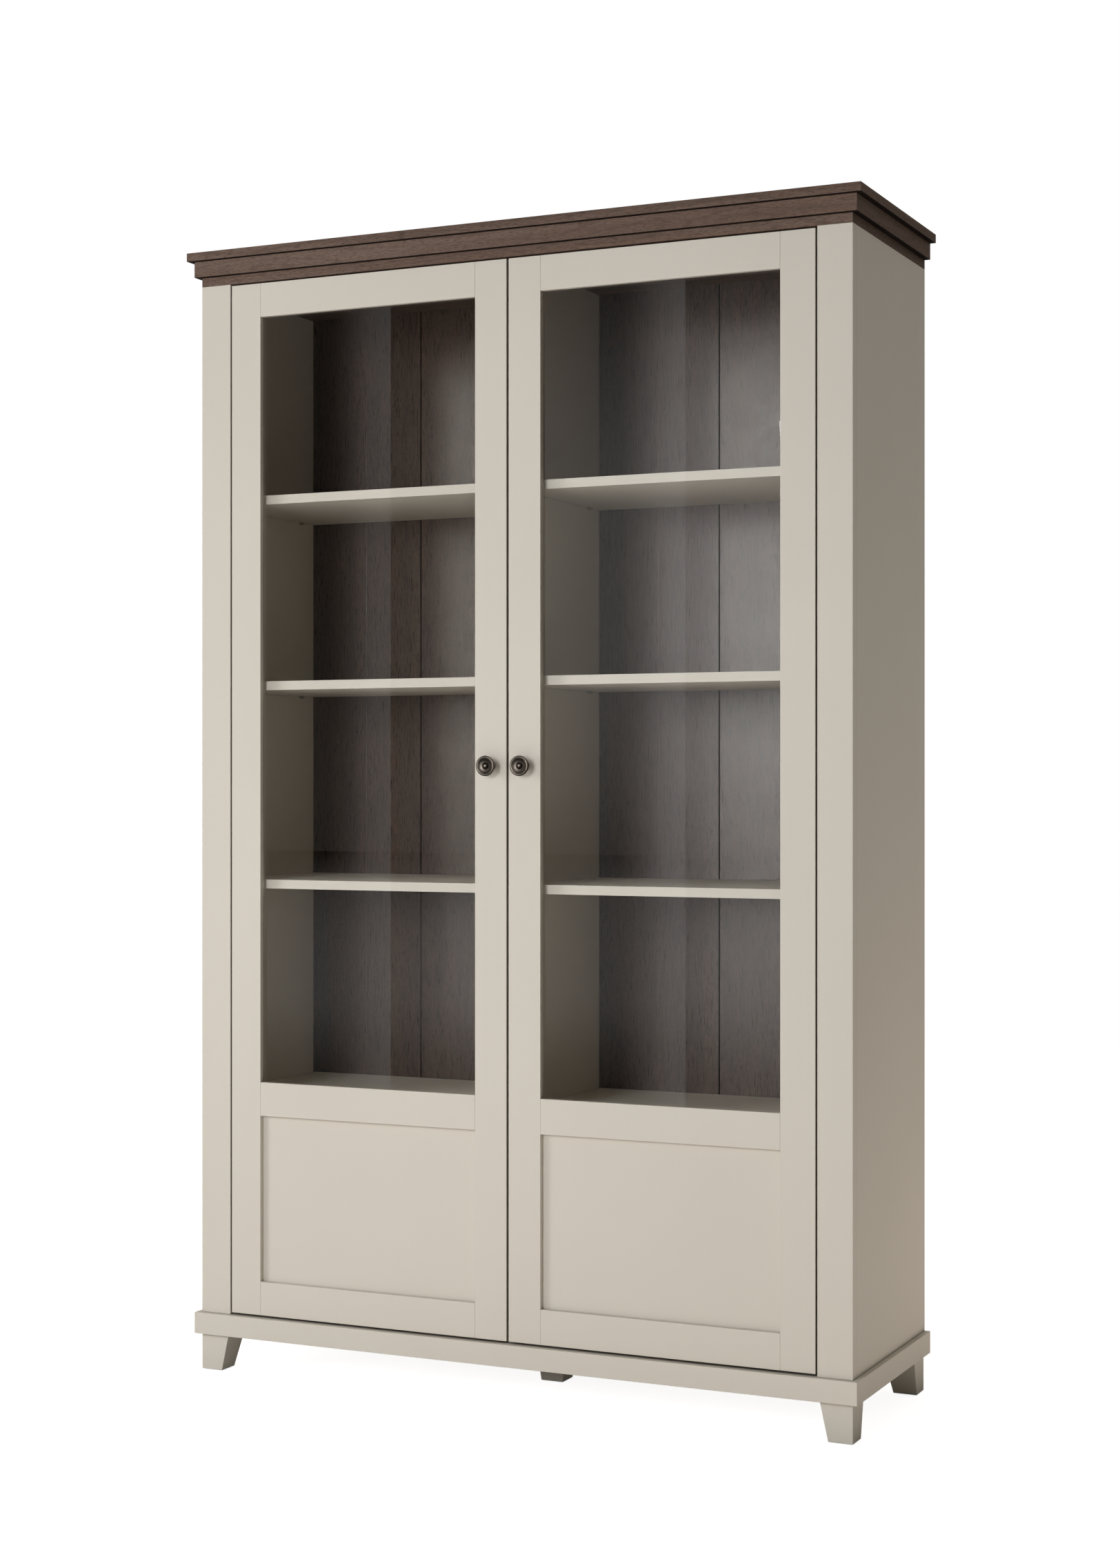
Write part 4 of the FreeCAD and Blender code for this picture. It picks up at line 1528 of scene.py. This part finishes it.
@dataclass
class Studio:
    """A pale floor, soft light, three reflector cards for the panes, and the camera.

    Directions that the room's light follows are parts of 1 along X, Y or Z; places and reaches are metres.
    """

    lens: float = 56.52
    sensor: float = 36.0
    eye: Triple = (1.8446, -3.9592, 1.0563)
    heading: float = 24.913
    aim: Triple = (0.0, 0.0, 1.0)
    key_place: Triple = (-0.22, -3.5, 1.5)
    key_size: Span = (0.9, 1.3)
    key_power: float = 50.5
    key_tone: Triple = (0.97, 0.985, 1.04)
    fill_place: Triple = (-3.2, -2.4, 1.5)
    fill_size: Span = (1.2, 1.6)
    fill_power: float = 53.5
    room_tone: Quad = (1.0, 0.965, 0.90, 1.0)
    horizon: float = 0.10
    zenith: float = 0.28
    rear_gain: float = 0.17
    rear_span: Span = (0.0, 0.9)
    right_loss: float = 0.5
    right_span: Span = (0.1, 1.3)
    mirror_dark: float = 0.03
    mirror_pale: float = 1.0
    mirror_span: Span = (-0.1, 0.3)
    mirror_side: float = 0.25
    side_middle: float = -0.43
    side_span: Span = (0.17, 0.32)
    mirror_low: float = 0.07
    low_span: Span = (0.12, -0.02)
    gleam_levels: Triple = (1.8, 12.0, 1.0)
    gleam_rise: Span = (-0.33, -0.44)
    gleam_fall: Span = (-0.455, -0.53)
    floor_tone: str = "#E2E0DC"
    floor_dark: str = "#1C1B1A"
    floor_reach: float = 30.0
    floor_glow: float = 0.88
    dark_reach: Span = (4.0, 6.4)
    bounce_tone: Quad = (1.0, 0.90, 0.85, 1.0)
    bounces: tuple[Quad, ...] = ((-0.3, -1.6, 6.0, 0.38), (1.7, 0.9, 2.2, 1.85))
    bounce_free: Span = (0.0, 0.15)
    haze_rings: Triple = (3.3, 8.6, 36.0)
    haze: float = 0.34
    card_level: float = 0.64
    card_line: float = -3.0
    card_step: float = 0.01
    card_edges: Span = (-1.780, -0.8135)
    card_width: float = 0.21
    card_head: float = 3.2
    veil_level: float = 0.8
    veil_reach: Span = (-1.37, -0.40)
    veil_heights: Quad = (0.45, 1.5, 1.8, 2.75)

    def camera(self) -> None:
        """Puts up the camera."""
        data = bpy.data.cameras.new("camera")
        data.lens, data.sensor_width, data.sensor_fit = self.lens, self.sensor, "AUTO"
        camera = bpy.data.objects.new("camera", data)
        camera.location = self.eye
        camera.rotation_euler = (pi / 2, 0, radians(self.heading))
        bpy.context.scene.collection.objects.link(camera)
        bpy.context.scene.camera = camera

    def softbox(self, name: str, place: Triple, size: Span, power: float, mirrored: bool) -> None:
        """Hangs one softbox and turns it to the cabinet.

        Args:
            name: its name.
            place: its middle.
            size: its width and height.
            power: its power in watts.
            mirrored: whether panes and gloss show it.
        """
        data = bpy.data.lights.new(name, "AREA")
        data.shape, data.size, data.size_y = "RECTANGLE", *size
        data.energy = power
        data.color = self.key_tone
        lamp = bpy.data.objects.new(name, data)
        lamp.location = place
        lamp.rotation_euler = (Vector(self.aim) - Vector(place)).to_track_quat("-Z", "Y").to_euler()
        lamp.visible_camera = False
        lamp.visible_glossy = lamp.visible_transmission = mirrored
        bpy.context.scene.collection.objects.link(lamp)

    @staticmethod
    def looks(tree: Tree) -> tuple[Socket, Socket, Socket]:
        """Tells by what way a ray comes.

        Args:
            tree: the node tree.

        Returns:
            1 for a straight look, also through a pane; 1 for a look in a mirror; 1 for the gleam of the
            case's inside, which goes out through a pane.
        """
        path = add_node(tree, LIGHT_PATH).node.outputs
        bounces = add_node(tree, MATH, (path["Diffuse Depth"], path["Glossy Depth"]), operation="ADD")
        bounced = add_node(tree, MATH, (bounces, NO_BOUNCE), operation="GREATER_THAN")
        deep = add_node(tree, MATH, (path["Transmission Depth"], ONE_PANE), operation="GREATER_THAN")
        late = add_node(tree, MATH, (path["Is Transmission Ray"], bounced), operation="MULTIPLY")
        straight = add_node(tree, MATH, (path["Is Transmission Ray"], late), operation="SUBTRACT")
        seen = add_node(tree, MATH, (path["Is Camera Ray"], straight), operation="MAXIMUM")
        mirrored = add_node(tree, MATH, (path["Is Glossy Ray"], late), operation="MAXIMUM")
        inside = add_node(tree, MATH, (late, deep), operation="MULTIPLY")
        return seen, mirrored, inside

    def bounce(self, tree: Tree, place: Socket) -> Socket:
        """Builds the strength of the warm light that the floor throws up round the cabinet.

        Args:
            tree: the floor's node tree.
            place: the place on the floor.

        Returns:
            The strength, 0 under the cabinet.
        """
        low, high = CAD_BOX
        middle = [(low[axis] + high[axis]) / 2 for axis in range(2)] + [0.0]
        half = [(high[axis] - low[axis]) / 2 for axis in range(2)] + [0.0]
        off = place
        for operation, *other in (
            ("SUBTRACT", middle), ("ABSOLUTE",), ("SUBTRACT", half), ("MAXIMUM", (0, 0, 0))
        ):
            off = add_node(tree, VECTOR_MATH, (off, *other), operation=operation)
        off = add_node(tree, VECTOR_MATH, (off,), "Value", operation="LENGTH")
        bounce: Any = 0.0
        for x, y, reach, level in self.bounces:
            away = add_node(tree, VECTOR_MATH, (place, (x, y, 0.0)), "Value", operation="DISTANCE")
            pool = add_node(tree, RAMP, (away, 0.0, reach, level, 0.0), **SMOOTH)
            bounce = add_node(tree, MATH, (bounce, pool), operation="ADD")
        free = add_node(tree, RAMP, (off, *self.bounce_free, *FULL), **SMOOTH)
        for share in (free, add_node(tree, LIGHT_PATH, out="Is Diffuse Ray")):
            bounce = add_node(tree, MATH, (bounce, share), operation="MULTIPLY")
        return bounce

    def floor(self) -> None:
        """Lays the floor: white to the eye, with the cabinet's shadow on it."""
        material, tree = new_tree("pale_floor")
        seen, mirrored, inside = self.looks(tree)
        place = add_node(tree, "ShaderNodeTexCoord", out="Object")
        far = add_node(tree, VECTOR_MATH, (place,), "Value", operation="LENGTH")
        near = add_node(tree, RAMP, (far, *self.dark_reach, 1.0, 0.0), **SMOOTH)
        dark = linear(self.floor_dark)
        tone = add_node(tree, MIX, {0: near, 6: dark, 7: linear(self.floor_tone)}, **COLOURS)
        tone = add_node(tree, MIX, {0: mirrored, 6: tone, 7: dark}, **COLOURS)
        matt = add_node(tree, "ShaderNodeBsdfDiffuse", {"Color": tone})

        shown = add_node(tree, MATH, (seen, inside), operation="MAXIMUM")
        level = add_node(tree, RAMP, (near, *FULL, 1.0, self.floor_glow), **SMOOTH)
        glow = add_node(tree, MATH, (shown, level), operation="MULTIPLY")
        start, peak, end = self.haze_rings
        rise = add_node(tree, RAMP, (far, start, peak, 0.0, self.haze), **SMOOTH)
        fall = add_node(tree, RAMP, (far, peak, end, 1.0, 0.0), **SMOOTH)
        haze = add_node(tree, MATH, (rise, fall), operation="MULTIPLY")
        haze = add_node(tree, MATH, (haze, mirrored), operation="MULTIPLY")
        shine = add_node(tree, MATH, (glow, haze), operation="ADD")
        white = add_node(tree, EMISSION, {"Color": WHITE, "Strength": shine})
        warm = add_node(tree, EMISSION, {"Color": self.bounce_tone, "Strength": self.bounce(tree, place)})
        both = add_node(tree, "ShaderNodeAddShader", (white, warm))
        both = add_node(tree, "ShaderNodeAddShader", (matt, both))
        add_node(tree, "ShaderNodeOutputMaterial", (both,))
        floor = Piece.start("studio_floor", bpy.ops.mesh.primitive_plane_add, size=2 * self.floor_reach)
        floor.dress(material)

    def card(self, name: str, low: float, high: float, brightness: Callable[..., Socket]) -> None:
        """Stands up one reflector card, which only mirrors show.

        Args:
            name: the card's name.
            low: the place along X of its left edge.
            high: the place along X of its right edge.
            brightness: makes the brightness pattern from the tree, the place along X and the height.
        """
        material, tree = new_tree(name)
        place = add_node(tree, "ShaderNodeTexCoord", out="Object")
        x, _, z = add_node(tree, "ShaderNodeSeparateXYZ", (place,)).node.outputs
        light = add_node(tree, EMISSION, {"Color": WHITE, "Strength": brightness(tree, x, z)})
        clear = add_node(tree, "ShaderNodeBsdfTransparent")
        both = add_node(tree, "ShaderNodeAddShader", (light, clear))
        add_node(tree, "ShaderNodeOutputMaterial", (both,))
        width = high - low
        middle = Vector(((low + high) / 2, self.card_line - self.card_step * width, self.card_head / 2))
        plane = bpy.ops.mesh.primitive_plane_add
        card = Piece.start(name, plane, size=1.0, rotation=(pi / 2, 0, 0), location=middle)
        with card.edited():
            card.pick_all()
            card.stretch((width, 1.0, self.card_head), middle)
        card.dress(material)
        shown = card.body
        shown.visible_camera = shown.visible_diffuse = False
        shown.visible_shadow = shown.visible_transmission = False

    def cards(self) -> None:
        """Stands up the two cards with a bright right edge and the wide soft one between them."""
        for name, edge in zip(("left_reflector_card", "right_reflector_card"), self.card_edges):
            start = edge - self.card_width
            self.card(name, start, edge, lambda tree, x, z: add_node(
                tree, RAMP, (x, start, edge, 0.0, self.card_level), **SMOOTH
            ))

        def soft(tree: Tree, x: Socket, z: Socket) -> Socket:
            """Rises from the foot and falls off to the head.

            Args:
                tree: the card's node tree.
                x: not used.
                z: the height.

            Returns:
                The brightness.
            """
            foot, low, high, head = self.veil_heights
            rise = add_node(tree, RAMP, (z, foot, low, 0.0, self.veil_level), **SMOOTH)
            fall = add_node(tree, RAMP, (z, high, head, 1.0, 0.0), **SMOOTH)
            return add_node(tree, MATH, (rise, fall), operation="MULTIPLY")

        self.card("soft_reflector_card", *self.veil_reach, soft)

    def room(self, tree: Tree, x: Socket, y: Socket, z: Socket) -> Socket:
        """The level of the soft light, by its direction: more from the rear, less from the right.

        Args:
            tree: the world's node tree.
            x: the direction's part along X.
            y: its part along Y.
            z: its part along Z.

        Returns:
            The level.
        """
        height = add_node(tree, RAMP, (z, *FULL, self.horizon, self.zenith))
        rear = add_node(tree, RAMP, (y, *self.rear_span, 0.0, self.rear_gain), **SMOOTH)
        light = add_node(tree, MATH, (height, rear), operation="ADD")
        skew = add_node(tree, MATH, (x, y), operation="SUBTRACT")
        right = add_node(tree, RAMP, (skew, *self.right_span, 1.0, 1.0 - self.right_loss), **SMOOTH)
        return add_node(tree, MATH, (light, right), operation="MULTIPLY")

    def mirror(self, tree: Tree, x: Socket, y: Socket, z: Socket) -> Socket:
        """The level of the room that mirrors show: pale to the rear, grey aside and low, dark ahead.

        Args:
            tree: the world's node tree.
            x: the direction's part along X.
            y: its part along Y.
            z: its part along Z.

        Returns:
            The level.
        """
        ahead = add_node(tree, RAMP, (y, *self.mirror_span, self.mirror_dark, self.mirror_pale), **SMOOTH)
        aside = add_node(tree, MATH, (x, -self.side_middle), operation="ADD")
        aside = add_node(tree, MATH, (aside,), operation="ABSOLUTE")
        aside = add_node(tree, RAMP, (aside, *self.side_span, 0.0, self.mirror_side), **SMOOTH)
        mirror = add_node(tree, MATH, (ahead, aside), operation="MAXIMUM")
        low = add_node(tree, RAMP, (z, *self.low_span, 0.0, self.mirror_low), **SMOOTH)
        return add_node(tree, MATH, (mirror, low), operation="ADD")

    def gleam(self, tree: Tree, x: Socket) -> Socket:
        """The level of the room that the case's glossy inside shows through a pane, highest on the left.

        Args:
            tree: the world's node tree.
            x: the direction's part along X.

        Returns:
            The level.
        """
        near, peak, far = self.gleam_levels
        rise = add_node(tree, RAMP, (x, *self.gleam_rise, near, peak), **SMOOTH)
        fall = add_node(tree, RAMP, (x, *self.gleam_fall, peak, far), **SMOOTH)
        return add_node(tree, MATH, (rise, fall), operation="MINIMUM")

    def world(self) -> None:
        """Sets the soft light of the room and the white that is seen behind the cabinet."""
        world = bpy.data.worlds.new("studio_world")
        bpy.context.scene.world = world
        world.use_nodes = True
        tree = world.node_tree
        tree.nodes.clear()
        way = add_node(tree, "ShaderNodeTexCoord", out="Generated")
        x, y, z = add_node(tree, "ShaderNodeSeparateXYZ", (way,)).node.outputs
        seen, mirrored, inside = self.looks(tree)
        level = self.room(tree, x, y, z)
        for share, other in (
            (mirrored, self.mirror(tree, x, y, z)), (inside, self.gleam(tree, x)), (seen, 1.0)
        ):
            level = add_node(tree, MIX, {0: share, 2: level, 3: other}, data_type="FLOAT")
        tone = add_node(tree, MIX, {0: seen, 6: self.room_tone, 7: WHITE}, **COLOURS)
        back = add_node(tree, "ShaderNodeBackground", {"Color": tone, "Strength": level})
        add_node(tree, "ShaderNodeOutputWorld", (back,))

    def build(self) -> None:
        """Sets up the whole studio."""
        self.camera()
        self.world()
        self.softbox("key_softbox", self.key_place, self.key_size, self.key_power, True)
        self.softbox("fill_softbox", self.fill_place, self.fill_size, self.fill_power, False)
        self.floor()
        self.cards()
        bpy.context.scene.view_settings.view_transform = "Standard"


def main() -> None:
    """Builds the studio and every sub-assembly in order."""
    logging.basicConfig(level=logging.INFO, format="%(message)s")
    Studio().build()
    finishes = Finishes()
    Boards(finishes).build()
    Cornice(finishes).build()
    BackPanels(finishes).build()
    Feet(finishes).build()
    for side in Side:
        Door(finishes, side).build()
    Hardware(finishes).build()


if __name__ == "__main__":
    main()
